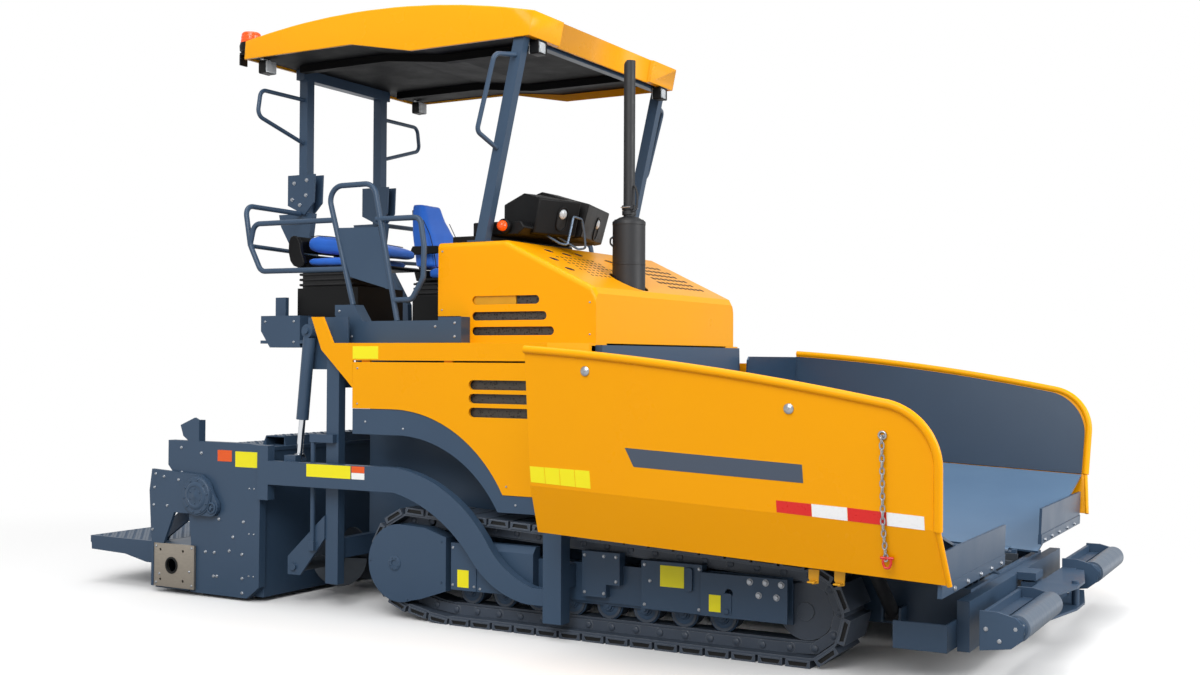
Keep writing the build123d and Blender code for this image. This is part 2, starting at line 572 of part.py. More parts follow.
def handrail():
    """Leaning gate with its plate, and the loops before and behind it."""
    y, foot, top = DECK_Y - 20, SIDE_BOX_TOP, RAIL_TOP + 194
    gate = bent_tube([(-1038, y, foot), (-1254, y, top), (-880, y, top), (-698, y, SIDE_BOX_LOW)], RAIL_R, 90)
    gate += slab_xz([(-1180, 2318), (-848, 2310), (-748, 1925), (-1062, 2010)], y - 2, y + 2)
    rails = gate
    rails += bent_tube([(-1194, y, 2368), (-1860, y, RAIL_TOP - 12), (-1895, y, 2240), (-1800, y, 2065),
                        (-1106, y, 2060)], RAIL_R, 60)
    rails += bent_tube([(-862, y, 2358), (-530, y, 2355), (-500, y, 2180), (-505, y, 1990), (-590, y, 1862),
                        (-732, y, 1862)], RAIL_R, 50)
    inner = REAR_POST_Y + POST_W / 2
    rails += bent_tube([(-1990, inner + 14, 2500), (-1960, y - 20, 2500), (-1893, y, 2235)], RAIL_R, 80)
    rails += rod((-1888, y, 2232), (-1950, inner - 8, 2225), RAIL_R - 3)
    rails -= block(-1100, -1000, y - 30, y + 30, foot - 30, foot)
    rails -= block(-760, -650, y - 30, y + 30, SIDE_BOX_LOW - 30, SIDE_BOX_LOW)
    return rails


def seat_base():
    """Swing-out seat console on one side."""
    base = block(-1650, -1150, 380, 840, DECK_Z + 20, 1960)
    base += block(-1600, -1250, 440, 780, 1959, 2070)
    return base


def seats():
    """Plain closed solids: the left seat with its back up, the right one folded down."""
    pad = block(-1640, -1160, 400, 820, 2070.3, 2180)
    back = slab_xz([(-1640, 2150), (-1530, 2150), (-1630, 2640), (-1725, 2650)], 420, 800)
    folded = block(-1640, -940, -820, -400, 2070.3, 2180)
    folded += slab_xz([(-1640, 2175), (-1715, 2200), (-1720, 2290), (-1500, 2300), (-1130, 2230), (-1120, 2175)],
                      -800, -420)
    return [pad + back, folded]


def console():
    """Control desk on its cross rail: two hoods set in a shallow V, and their shelf."""
    desk = block(-430, -150, -830, 130, HOOD_TOP, HOOD_TOP + 45)
    shelf = slab_xz([(-300, 2247), (20, 2247), (70, 2290), (40, 2330), (-300, 2330)], -800, 100)
    desk += shelf
    for x, y0, y1, turn in ((30, -800, -345, -16), (26, -355, 200, 16)):
        half = (y1 - y0) / 2
        hood = slab_xz([(-200, 2330), (30, 2255), (75, 2262), (130, 2500), (-20, 2545), (-200, 2480)], -half, half)
        desk += Pos(x, (y0 + y1) / 2, 0) * Rot(0, 0, turn) * hood
    desk += slab_xz([(-190, 2470), (-20, 2535), (120, 2500), (128, 2530), (-20, 2580), (-190, 2520)], -420, -280)
    return desk


def roof_profile(wall, front):
    """Side outline of the roof; inside, drawn in by its wall and open below."""
    rear_top = (ROOF_REAR + 10 + wall, ROOF_SKIRT_Z + ROOF_RISE_REAR - wall)
    front_top = (front - wall, ROOF_SKIRT_Z + ROOF_RISE_FRONT - wall)
    crown = (-880, ROOF_SKIRT_Z + ROOF_CROWN_RISE - wall)
    lean = 30 / (ROOF_RISE_FRONT + ROOF_DIP)
    low = ROOF_DIP_Z - wall
    front_foot = (front_top[0] - lean * (front_top[1] - low), low)
    if wall:
        corners = [front_foot, (ROOF_REAR + wall, low)]
    else:
        corners = [front_foot, (-680, low), (-1144, ROOF_SKIRT_Z), (ROOF_REAR, ROOF_SKIRT_Z)]
    edge = Polyline(front_top, *corners, rear_top)
    return make_face(Wire([ThreePointArc(rear_top, crown, front_top)] + edge.edges()))


def canopy_roof():
    """Roof shell: arched top, deep skirt, two front corners that stand proud, open below."""
    middle, w = ROOF_Y - ROOF_CORNER, ROOF_WALL
    roof = extrude(Plane.XZ.offset(-ROOF_Y) * roof_profile(0, ROOF_FRONT), amount=2 * ROOF_Y)
    lean = 30 / (ROOF_RISE_FRONT + ROOF_DIP)
    low, high = ROOF_DIP_Z - 20, ROOF_SKIRT_Z + ROOF_RISE_FRONT + 40
    foot_x, head_x = (ROOF_FRONT - lean * (ROOF_SKIRT_Z + ROOF_RISE_FRONT - z) for z in (low, high))
    roof -= slab_xz([(foot_x - ROOF_RECESS, low), (foot_x + 50, low), (head_x + 50, high), (head_x - ROOF_RECESS, high)],
                    -middle, middle)
    inside = roof_profile(w, ROOF_FRONT - ROOF_RECESS)
    return roof - extrude(Plane.XZ.offset(-ROOF_Y + w) * inside, amount=2 * (ROOF_Y - w))


def canopy_lining():
    """Underside of the roof with its two long ribs."""
    y, front = ROOF_Y - ROOF_WALL - 0.3, ROOF_FRONT - ROOF_RECESS - 42
    high, low = ROOF_SKIRT_Z + 12, LAMP_SEAT_Z
    lining = slab_xz([(ROOF_REAR + 30, high), (-1150, high), (-700, low), (front, low), (front, low + 10),
                      (-700, low + 10), (-1150, high + 10), (ROOF_REAR + 30, high + 10)], -y, y)
    for side in (1, -1):
        lo, hi = sorted((side * 500, side * 560))
        lining += slab_xz([(-1900, high - 45), (-1150, high - 45), (-700, low - 45), (60 - 20, low - 45),
                           (60 - 20, low + 1), (-700, low + 1), (-1150, high + 1), (-1900, high + 1)], lo, hi)
    return lining


def canopy_frame():
    """Rear and front posts with their cross beams, hinge plates and grab handles."""
    high, low = ROOF_SKIRT_Z + 12, LAMP_SEAT_Z
    lo, hi = REAR_POST_Y - POST_W / 2, REAR_POST_Y + POST_W / 2
    post = beam((REAR_POST_X, REAR_POST_Y, 2490), (REAR_POST_X, REAR_POST_Y, high), POST_W, POST_W)
    arm = slab_xz([(-2200, 2503), (-2180, 2419), (-2078, 2255), (-1960, 2100), (-1800, 1900), (-1775, DECK_Z + 20),
                   (-1680, DECK_Z + 20), (-1690, 1900), (-1830, 2120), (-1930, 2300), (-1900, 2503)], lo + 10, hi - 10)
    post += arm
    for y in (lo - 12, hi):
        post += slab_xz([(-2100, 2768), (-1858, 2768), (-1866, 2575), (-1950, 2491), (-2100, 2560)], y, y + 12)
    handle = bent_tube([(REAR_POST_X, hi - 2, 3285), (REAR_POST_X, 850, 3285), (REAR_POST_X, 880, 3110),
                        (REAR_POST_X, hi - 2, 2985)], HANDLE_R, 55)
    post += handle
    frame = post + other_side(post)
    frame += block(REAR_POST_X - 35, REAR_POST_X + 35, -470, 470, high - 70, high)
    post = beam((FRONT_POST_X0, FRONT_POST_Y, FRONT_POST_Z0 - 60), (FRONT_POST_X1 - 10, FRONT_POST_Y, low - 20), 60, POST_W)
    post -= block(-400, 0, 0, 1000, 2000, HOOD_TOP)
    foot = block(-260, -120, FRONT_POST_Y - 40, FRONT_POST_Y + 40, HOOD_TOP, HOOD_TOP + 10)
    handle = bent_tube([(70, FRONT_POST_Y + 28, 3290), (30, FRONT_POST_Y + 190, 3270), (-90, FRONT_POST_Y + 190, 2830),
                        (-58, FRONT_POST_Y + 28, 2750)], HANDLE_R, 45)
    front = post + foot + handle
    front += other_side(front)
    front += block(FRONT_POST_X1 - 55, FRONT_POST_X1 - 4, -FRONT_POST_Y, FRONT_POST_Y, low - 60, low)
    return [frame, front]


def work_lamps():
    """Square lamps on stalks under the roof's corners."""
    lamps = []
    for x, inset, top, drop in ((ROOF_REAR + 90, 105, ROOF_SKIRT_Z + 12, 60), (ROOF_FRONT - 86, 143, LAMP_SEAT_Z, 94)):
        for s in (1, -1):
            y = s * (ROOF_Y - inset)
            lamp = rod((x, y, top - drop), (x, y, top), 12)
            lamp += block(x - 8, x + 8, y - 40, y + 40, top - 6, top)
            lamp += block(x - 6, x + 56, y - 46, y + 46, top - drop - 38, top - drop + 38)
            lamps.append(lamp)
    return lamps


def beacon():
    """Flashing beacon on its bracket at the roof's rear right corner."""
    x, y, z = ROOF_REAR - 62, -ROOF_Y + 50, ROOF_SKIRT_Z + 32
    base = block(x - 50, ROOF_REAR + 2.2, y - 40, y + 40, z, z + 8)
    base += rod((x, y, z + 7), (x, y, z + 35), 55)
    base += rod((x, y, z + 34), (x, y, z + 130), 48)
    return base


# --------------------------------------------------------- push beam, front
def push_support():
    """Fixed cross box that carries the push beam's pivot."""
    body = block(FRAME_FRONT, FRAME_FRONT + 60, -1080, 1080, 130, 370)
    body += block(FRAME_FRONT + 59, PIVOT_X + 60, -90, 90, 150, 190)
    body += block(FRAME_FRONT + 59, PIVOT_X + 60, -90, 90, 340, 380)
    body += rod((PIVOT_X, 0, 189), (PIVOT_X, 0, 341), 30)
    return body


def push_beam():
    """Beam across the front that turns on its middle pin and carries the rollers."""
    beam_box = block(PIVOT_X + 70, PIVOT_X + 150, -PUSH_Y1 + 10, PUSH_Y1 - 10, 205, 330)
    hub = block(PIVOT_X - 20, PIVOT_X + 71, -80, 80, 205, 330)
    hub -= rod((PIVOT_X, 0, 150), (PIVOT_X, 0, 400), 30 + GAP)
    body = beam_box + hub
    body -= rod((PIVOT_X, 0, 150), (PIVOT_X, 0, 400), 30 + GAP)
    for y0, y1 in ((PUSH_Y0 - 25, PUSH_Y0 - 5), (PUSH_Y1 + 5, PUSH_Y1 + 25)):
        for s in (1, -1):
            bracket = slab_xz([(PIVOT_X + 71, 200), (PUSH_X - 20, 220), (PUSH_X + 30, 260), (PUSH_X + 40, 320),
                               (PUSH_X, 360), (PIVOT_X + 150, 380), (PIVOT_X + 71, 380)], s * y0, s * y1)
            body += bracket
    nose = make_face(Polyline((PIVOT_X + 71, -530), (PUSH_X - 30, -510), (PUSH_X + 44, -110), (PUSH_X + 44, 110),
                              (PUSH_X - 30, 510), (PIVOT_X + 71, 530), close=True))
    for z in (206, 318):
        body += Pos(0, 0, z) * extrude(nose, amount=12)
    body += rod((PUSH_X + 15, 0, 210), (PUSH_X + 15, 0, 345), 20)
    for s in (1, -1):
        lo, hi = sorted((s * (PUSH_Y0 - 25), s * (PUSH_Y1 + 25)))
        body += block(PIVOT_X + 72, PIVOT_X + 90, lo, hi, 206, 370)
        body += disc(PUSH_X, PUSH_Z, 20, lo + 2, hi - 2)
    return body


def push_roller():
    """Hollow roller on its rod."""
    return disc(PUSH_X, PUSH_Z, PUSH_R, PUSH_Y0, PUSH_Y1) - disc(PUSH_X, PUSH_Z, 20 + GAP, PUSH_Y0 - 1, PUSH_Y1 + 1)


def foot_tray():
    """Low step in front of each track."""
    tray = block(2440, 2699, TRACK_IN + 20, TRACK_OUT + 10, 150, 165)
    tray += block(2440, 2699, TRACK_OUT - 4, TRACK_OUT + 10, 164, 280)
    tray += block(2690, 2700, SIDE_OUT, TRACK_OUT, 164, 280)
    return tray


# ------------------------------------------------------------ auger, screed
def auger():
    """Half of the spreading auger: shaft with flights, left-handed on one side."""
    shaft = disc(AUGER_X, AUGER_Z, AUGER_SHAFT_R, AUGER_Y0, AUGER_Y1)
    shaft -= disc(AUGER_X, AUGER_Z, 22 + GAP, AUGER_Y0 - 1, AUGER_Y1 + 1)
    flights = 2 * int((AUGER_Y1 - AUGER_Y0 - 60) / AUGER_PITCH)
    body = shaft
    for k in range(flights):
        y = AUGER_Y0 + 60 + k * AUGER_PITCH / 2
        blade = extrude(Plane.XY * (Circle(AUGER_R) - Circle(AUGER_SHAFT_R - 5)), amount=14)
        blade = blade - block(-300, 300, -300, 0, -20, 40)
        tilt = degrees(atan2(AUGER_PITCH / 2, 2 * AUGER_R))
        blade = Rot(0, tilt, 0) * blade
        blade = Pos(AUGER_X, y, AUGER_Z) * Rot(-90, 0, 0) * Rot(0, 0, 180 * k) * blade
        body += blade
    return body


def auger_support():
    """Middle gear case, end hangers and the rod that both augers turn on."""
    case = block(AUGER_X - 60, -1080, -90, 90, AUGER_Z - 90, CONVEYOR_Z - 61)
    case += disc(AUGER_X, AUGER_Z, 90, -100, 100)
    case += disc(AUGER_X, AUGER_Z, 22, -AUGER_Y1 - 40, AUGER_Y1 + 40)
    for s in (1, -1):
        lo, hi = sorted((s * (AUGER_Y1 + 10), s * (AUGER_Y1 + 26)))
        case += slab_xz([(AUGER_X - 50, AUGER_Z - 50), (AUGER_X + 50, AUGER_Z - 50), (AUGER_X + 240, 420),
                         (AUGER_X + 240, 560), (AUGER_X - 50, AUGER_Z + 60)], lo, hi)
        lo, hi = sorted((s * (LIFT_Y + 30.3), s * (ARM_IN - 16)))
        case += block(HANGER_X - 16, -1000, lo, hi, 1000, 1050)
        lo, hi = sorted((s * (AUGER_Y1 + 18), s * (ARM_IN - 16)))
        case += block(HANGER_X - 20, HANGER_X + 20, lo, hi, 345, 400)
        case += rod((HANGER_X, s * (ARM_IN - 32), 380), (HANGER_X, s * (ARM_IN - 32), 1001), 15)
    return case


def tow_arm():
    """Side arm from the tow point up and back to the screed."""
    edges = [
        Line((ARM_REAR, 736), (-480, 736)),
        ThreePointArc((-480, 736), (-160, 600), (60, 395)),
        ThreePointArc((60, 395), (240, 240), (430, 180)),
        Line((430, 180), (TOW_X, 180)),
        ThreePointArc((TOW_X, 180), (TOW_X + 45, TOW_Z), (TOW_X, TOW_Z + 45)),
        Line((TOW_X, TOW_Z + 45), (470, TOW_Z + 45)),
        ThreePointArc((470, TOW_Z + 45), (330, 330), (180, 475)),
        ThreePointArc((180, 475), (-90, 745), (-480, 880)),
        Line((-480, 880), (ARM_REAR, 880)),
        Line((ARM_REAR, 880), (ARM_REAR, 736)),
    ]
    arm = extrude(Plane.XZ.offset(-ARM_OUT) * make_face(Wire(edges)), amount=ARM_OUT - ARM_IN)
    arm -= disc(TOW_X, TOW_Z, TOW_PIN_R + GAP, ARM_IN - 5, ARM_OUT + 5)
    arm += block(ARM_REAR, ARM_REAR + 85, ARM_IN, ARM_OUT, 640, 972)
    arm += block(LIFT_X1 - 45, LIFT_X1 + 45, LIFT_Y + LIFT_EYE_W / 2 + 6, ARM_IN + 1, 780, 915)
    return arm


def tow_guide():
    """Post that holds the tow point's pin."""
    post = block(TOW_X - 42, TOW_X + 42, ARM_OUT + 8, ARM_OUT + 20, 93, 600)
    post += block(TOW_X + 60, TOW_X + 72, TRACK_OUT + 10, ARM_OUT + 20, 93, 600)
    post += block(TOW_X + 41, TOW_X + 61, ARM_OUT + 8, ARM_OUT + 20, 93, 600)
    post += disc(TOW_X, TOW_Z, TOW_PIN_R, TRACK_OUT + 10, ARM_OUT + 9)
    post += block(TOW_X + 30, TOW_X + 72, 1183, TRACK_OUT + 11, 280, 400)
    return post


def screed_frame():
    """Basic screed: cross box with its side plates and bottom plate."""
    body = block(SCREED_REAR, SCREED_FRONT, -SCREED_Y, SCREED_Y, 520, SCREED_TOP - 30)
    body -= disc(TUBE_X, TUBE_Z, TUBE_R + GAP, -SCREED_Y - 1, SCREED_Y + 1)
    body += block(-2080, SCREED_FRONT, -SCREED_Y, SCREED_Y, SCREED_BOTTOM, 300)
    body += block(-1600, SCREED_FRONT, -SCREED_Y, SCREED_Y, 299, 521)
    side = slab_xz([(-2100, 978), (-2321, 978), (-2321, 820), (-2150, 640), (-2112, 330), (-2112, 21), (-1634, 21),
                    (-1536, 96), (-1530, 967), (-1640, 978)], SCREED_Y, SCREED_Y + SIDE_PLATE_T)
    side -= disc(TUBE_X, TUBE_Z, TUBE_R + GAP, SCREED_Y - 1, SCREED_Y + SIDE_PLATE_T + 1)
    side += slab_xz([(-2115, 960), (-2080, 960), (-2050, 1110), (-2090, 1127), (-2215, 1077), (-2190, 1008)],
                    SCREED_Y + SIDE_PLATE_T - 14, SCREED_Y + SIDE_PLATE_T)
    side += block(-2090, -2052, SCREED_Y, SCREED_Y + SIDE_PLATE_T, 960, 1112)
    return body + side + other_side(side)


def screed_steps():
    """Tread plate over the screed box, and the full-width step behind on its brackets."""
    tread = block(-2060, SCREED_FRONT + 5, -SCREED_Y + 5, SCREED_Y - 5, SCREED_TOP - 30, SCREED_TOP - 6)
    hatch = slab_xz([(-1780, SCREED_TOP - 8), (-1752, HATCH_TOP), (-1600, HATCH_TOP), (-1585, SCREED_TOP - 8)],
                    -HATCH_Y, HATCH_Y)
    hatch -= block(-1752, -1600, -HATCH_Y - 1, HATCH_Y + 1, SCREED_TOP - 9, HATCH_TOP - 8)
    tread += hatch
    step = slab_xz([(STEP_REAR, STEP_Z), (STEP_REAR, STEP_Z - 45), (STEP_FRONT - 30, STEP_Z - 12), (STEP_FRONT - 30, STEP_Z)],
                   -1250, 1250)
    for y in (-1250, 1240):
        step += slab_xz([(STEP_REAR + 4, STEP_Z - 5), (STEP_REAR + 12, STEP_Z - 90), (-2760, STEP_Z - 100),
                         (-2560, STEP_Z - 140), (STEP_FRONT - 34, STEP_Z - 140), (STEP_FRONT - 34, STEP_Z - 5)], y, y + 10)
    for y in (-1180, -420, 400, 1160):
        step += slab_xz([(-2100, 700), (-2100, 560), (-2440, 335), (-2475, 271), (-2560, 271), (-2475, 400)], y, y + 20)
    return [tread, step]


def extension_box():
    """Sliding screed body: a box open at its outer end, with a thick bottom plate."""
    box = block(EXT_REAR, -2120, 15, SCREED_Y + SIDE_PLATE_T + 5, SCREED_BOTTOM, EXT_TOP)
    hollow = block(EXT_REAR + 12, -2132, 40, SCREED_Y + SIDE_PLATE_T + 6, SCREED_BOTTOM + 20, EXT_TOP - 12)
    return box - hollow


def extension_end():
    """Bright end plate with its round port and four bolt holes."""
    y0 = SCREED_Y + SIDE_PLATE_T + 5
    plate = block(EXT_REAR, -2065, y0, y0 + END_T, 40, EXT_TOP)
    plate -= disc(END_X, END_Z, END_PORT_R, y0 - 1, y0 + END_T + 1)
    for x in (END_X - END_BOLT_X / 2, END_X + END_BOLT_X / 2):
        for z in (END_Z - END_BOLT_Z / 2, END_Z + END_BOLT_Z / 2):
            plate -= disc(x, z, END_BOLT_R, y0 - 1, y0 + END_T + 1)
    return plate


def tangent_strip(one, two):
    """Four-cornered outline that joins two round bosses along their outer tangents."""
    (x0, z0, r0), (x1, z1, r1) = one, two
    heading = atan2(z1 - z0, x1 - x0)
    side = pi / 2 - asin((r0 - r1) / hypot(x1 - x0, z1 - z0))
    points = []
    for turn in (side, -side):
        a = heading + turn
        pair = [(x0 + r0 * cos(a), z0 + r0 * sin(a)), (x1 + r1 * cos(a), z1 + r1 * sin(a))]
        points += pair if turn > 0 else pair[::-1]
    return points


def extension_carrier():
    """Plate that ties the guide tube to the sliding screed, with the tube itself."""
    tube = disc(TUBE_X, TUBE_Z, TUBE_R, 20, SCREED_Y + SIDE_PLATE_T + 10)
    y0 = SCREED_Y + SIDE_PLATE_T + 5
    carrier = slab_xz([(-2440, EXT_TOP), (-2330, EXT_TOP), (-2240, 520), (-1960, 520), (-1930, 700), (-2000, 770),
                       (-2440, 790), (-2462, 650)], y0, y0 + 20)
    carrier += slab_xz([(-2440, EXT_TOP), (-2440, 40), (EXT_REAR, 40), (EXT_REAR, EXT_TOP)], y0, y0 + 20)
    carrier += disc(TUBE_X, TUBE_Z, 125, y0, y0 + 35)
    carrier += disc(CAM_X, CAM_Z, 62, y0, y0 + 28)
    carrier += slab_xz(tangent_strip((TUBE_X, TUBE_Z, 125), (CAM_X, CAM_Z, 62)), y0 + 8, y0 + 28)
    return tube + carrier


def lift_direction():
    dx, dz = LIFT_X1 - LIFT_X0, LIFT_Z1 - LIFT_Z0
    length = hypot(dx, dz)
    return dx / length, dz / length, length


def lift_barrel():
    ux, uz, _ = lift_direction()

    def at(s):
        return (LIFT_X0 + ux * s, LIFT_Y, LIFT_Z0 + uz * s)

    barrel = rod(at(40), at(LIFT_BARREL_LEN), LIFT_BARREL_R)
    barrel += disc(LIFT_X0, LIFT_Z0, 42, LIFT_Y - 30, LIFT_Y + 30)
    barrel -= disc(LIFT_X0, LIFT_Z0, 18 + GAP, LIFT_Y - 31, LIFT_Y + 31)
    barrel -= rod(at(120), at(LIFT_BARREL_LEN + 1), LIFT_ROD_R + GAP)
    return barrel


def lift_rod():
    ux, uz, length = lift_direction()

    def at(s):
        return (LIFT_X0 + ux * s, LIFT_Y, LIFT_Z0 + uz * s)

    piece = rod(at(length - 440), at(length - 25), LIFT_ROD_R)
    piece += disc(LIFT_X1, LIFT_Z1, 34, LIFT_Y - LIFT_EYE_W / 2, LIFT_Y + LIFT_EYE_W / 2)
    piece -= disc(LIFT_X1, LIFT_Z1, 18, LIFT_Y - 26, LIFT_Y + 26)
    return piece


def ram_points():
    """Pins of a wing's cylinder: on the side plate, and under the wing."""
    return (RAM_X, RAM_Y0, RAM_Z0), (RAM_X, RAM_Y1, RAM_Z1)


def ram_barrel():
    low, high = (Vector(*p) for p in ram_points())
    way = (high - low).normalized()
    barrel = rod(low + way * 20, low + way * RAM_BARREL_LEN, RAM_R)
    barrel += rod((RAM_X - 34, RAM_Y0, RAM_Z0), (RAM_X + 34, RAM_Y0, RAM_Z0), 36)
    barrel -= rod((RAM_X - 35, RAM_Y0, RAM_Z0), (RAM_X + 35, RAM_Y0, RAM_Z0), RAM_PIN_R + GAP)
    barrel -= rod(low + way * 80, low + way * (RAM_BARREL_LEN + 1), RAM_ROD_R + GAP)
    return wing_place(barrel)


def ram_rod():
    low, high = (Vector(*p) for p in ram_points())
    way = (high - low).normalized()
    piece = rod(low + way * 90, high - way * 20, RAM_ROD_R)
    piece += rod((RAM_X - 22, RAM_Y1, RAM_Z1), (RAM_X + 22, RAM_Y1, RAM_Z1), 32)
    piece -= rod((RAM_X - 23, RAM_Y1, RAM_Z1), (RAM_X + 23, RAM_Y1, RAM_Z1), RAM_PIN_R)
    return wing_place(piece)


def ram_clevis():
    """Two ears on the side plate with the pin of the cylinder's foot."""
    face = SIDE_OUT - HINGE_Y - 10
    ears = block(RAM_X - 52, RAM_X - 38, face, RAM_Y0 + 40, RAM_Z0 - 42, RAM_Z0 + 42)
    ears += block(RAM_X + 38, RAM_X + 52, face, RAM_Y0 + 40, RAM_Z0 - 42, RAM_Z0 + 42)
    ears += rod((RAM_X - 45, RAM_Y0, RAM_Z0), (RAM_X + 45, RAM_Y0, RAM_Z0), RAM_PIN_R)
    return wing_place(ears)


def wing_ears():
    """Two ears under the wing's floor for the rod's eye."""
    rise = CREASE_Z / CREASE_Y
    ears = None
    for x0 in (RAM_X - 44, RAM_X + 30):
        x, y = x0, RAM_Y1
        top = y * rise
        ear = slab_yz([(y - 40, top - 40 * rise + 1), (y - 40, top - 110), (y + 40, top - 110),
                       (y + 40, top + 40 * rise + 1)], x, x + 14)
        ears = ear if ears is None else ears + ear
    return ears


# ------------------------------------------------------------------- write
keep_pair("track", track())
keep_both("track_frames", track_frame())
keep_both("track_wheels", track_wheels())
keep("chassis", chassis())
keep_both("rear_columns", rear_columns())
keep("conveyor_floor", conveyor_floor())
keep("conveyor_slats", conveyor_slats())
keep("hopper_back", hopper_back())
keep("engine", engine())
keep_pair("wing_skin", wing_skin())
keep_pair("wing_liner", wing_liner())
keep_pair("wing_apron", wing_apron())
keep_both("wing_hinges", hinge_rods())
keep_pair("ram_barrel", ram_barrel())
keep_pair("ram_rod", ram_rod())
keep_both("side_panels", side_panel())
keep_both("fenders", fender())
keep_both("ledges", ledge())
keep("hood", hood())
keep("exhaust", exhaust())
keep("platform", platform())
keep_both("handrails", handrail())
keep_both("seat_bases", seat_base())
keep("seats", seats())
keep("console", console())
keep("canopy_roof", canopy_roof())
keep("canopy_lining", canopy_lining())
keep("canopy_frame", canopy_frame())
keep("work_lamps", work_lamps())
keep("beacon", beacon())
keep("push_support", push_support())
keep("push_beam", push_beam())
keep_pair("push_roller", push_roller())
keep_both("foot_trays", foot_tray())
keep_pair("auger", auger())
keep("auger_support", auger_support())
keep_pair("tow_arm", tow_arm())
keep_both("tow_guides", tow_guide())
keep("screed_frame", screed_frame())
keep("screed_steps", screed_steps())
keep_pair("extension_box", extension_box())
keep_pair("extension_end", extension_end())
keep_pair("extension_carrier", extension_carrier())
keep_pair("lift_barrel", lift_barrel())
keep_pair("lift_rod", lift_rod())
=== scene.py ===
# %% [markdown]
# # Dressing a tracked asphalt paver
# The machine is a crawler paver as it parks: hopper in front, tractor in the middle,
# screed behind, operator's platform under a glass-fibre canopy. Its rigid pieces arrive
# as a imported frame; here each gets its finish, and the small things that a maker bolts
# on afterwards are built beside them.

# %% Load the frame
import bpy, bmesh, json, math
from mathutils import Matrix, Vector
from mathutils.bvhtree import BVHTree


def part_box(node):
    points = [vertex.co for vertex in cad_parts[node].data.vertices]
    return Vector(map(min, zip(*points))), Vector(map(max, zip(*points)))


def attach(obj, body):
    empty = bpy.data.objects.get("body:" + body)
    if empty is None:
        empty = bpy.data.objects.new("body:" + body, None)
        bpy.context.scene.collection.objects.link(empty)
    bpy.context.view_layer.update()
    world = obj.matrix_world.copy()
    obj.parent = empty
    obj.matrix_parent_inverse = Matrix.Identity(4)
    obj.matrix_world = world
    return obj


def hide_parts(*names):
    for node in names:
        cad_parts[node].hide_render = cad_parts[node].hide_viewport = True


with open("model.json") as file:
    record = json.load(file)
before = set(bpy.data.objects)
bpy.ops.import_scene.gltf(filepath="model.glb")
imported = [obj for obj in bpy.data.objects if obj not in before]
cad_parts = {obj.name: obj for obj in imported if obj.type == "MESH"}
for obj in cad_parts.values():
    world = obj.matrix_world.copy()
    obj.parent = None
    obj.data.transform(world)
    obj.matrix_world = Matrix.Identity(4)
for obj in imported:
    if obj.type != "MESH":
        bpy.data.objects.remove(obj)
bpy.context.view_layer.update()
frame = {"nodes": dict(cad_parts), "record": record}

NODES = frame["nodes"]
MM = 0.001

# %% [markdown]
# ## Camera
# A long side view from the machine's front right corner, at about a grown-up's eye
# level. Its place was solved from the frame's known points, so it is written as a
# position, three angles and a focal length.

# %% Camera
CAMERA_AT = Vector((4.420, -7.592, 1.5096))
YAW, PITCH, ROLL = (math.radians(a) for a in (29.454, 0.918, 0.283))
FOCAL_OF_WIDTH, SENSOR = 1365.45 / 1200, 36.0      # focal length over frame width; sensor in mm
ahead = Vector((-math.sin(YAW) * math.cos(PITCH), math.cos(YAW) * math.cos(PITCH), math.sin(PITCH)))
right = Vector((math.cos(YAW), math.sin(YAW), 0))
up = right.cross(ahead)
right, up = (right * math.cos(ROLL) + up * math.sin(ROLL),
             up * math.cos(ROLL) - right * math.sin(ROLL))
camera = bpy.data.objects.new("camera", bpy.data.cameras.new("camera"))
bpy.context.scene.collection.objects.link(camera)
camera.matrix_world = Matrix((right, up, -ahead)).transposed().to_4x4()
camera.location = CAMERA_AT
camera.data.sensor_width = SENSOR
camera.data.lens = SENSOR * FOCAL_OF_WIDTH
camera.data.clip_end = 200
bpy.context.scene.camera = camera
print("lens", round(camera.data.lens, 2), "mm")

# %% [markdown]
# ## Colour and node helpers
# Paint makers give colours as they look on a screen, which is sRGB. Shaders add light,
# so they want linear values: one function turns one into the other. A second function
# adds any shader node: sockets are named in a dictionary, and a value that is itself a
# socket becomes a link.

# %% Colour and node helpers
def srgb(code):
    """An sRGB hex colour as linear RGBA."""
    channels = [int(code[i:i + 2], 16) / 255 for i in (1, 3, 5)]
    return tuple(c / 12.92 if c <= 0.04045 else ((c + 0.055) / 1.055) ** 2.4 for c in channels) + (1.0,)


def add(tree, kind, settings):
    """Add a node; a key is an attribute or an input, a socket as value is linked."""
    node = tree.nodes.new(kind)
    for key, value in settings.items():
        if isinstance(key, str) and hasattr(node, key) and key not in node.inputs:
            setattr(node, key, value)
        elif isinstance(value, bpy.types.NodeSocket):
            tree.links.new(value, node.inputs[key])
        else:
            node.inputs[key].default_value = value
    return node


def blank(name):
    """A new material with nothing in its tree but the output."""
    material = bpy.data.materials.new(name)
    material.use_nodes = True
    tree = material.node_tree
    tree.nodes.clear()
    return material, tree


print("yellow as linear:", [round(c, 3) for c in srgb("#F5A800")[:3]])

# %% [markdown]
# ## Floor and light
# A plain pale floor takes the soft shadow. Close to the machine it is an ordinary matt
# surface; further out it turns into even white, by distance on the floor itself, so the
# ground and the backdrop meet without a line. The machine gets a greyer floor's bounce, so
# that plates which lean towards the ground stay darker than upright ones. A wide white sky
# fills the shadows and three large soft lamps give the sheets their gradients.

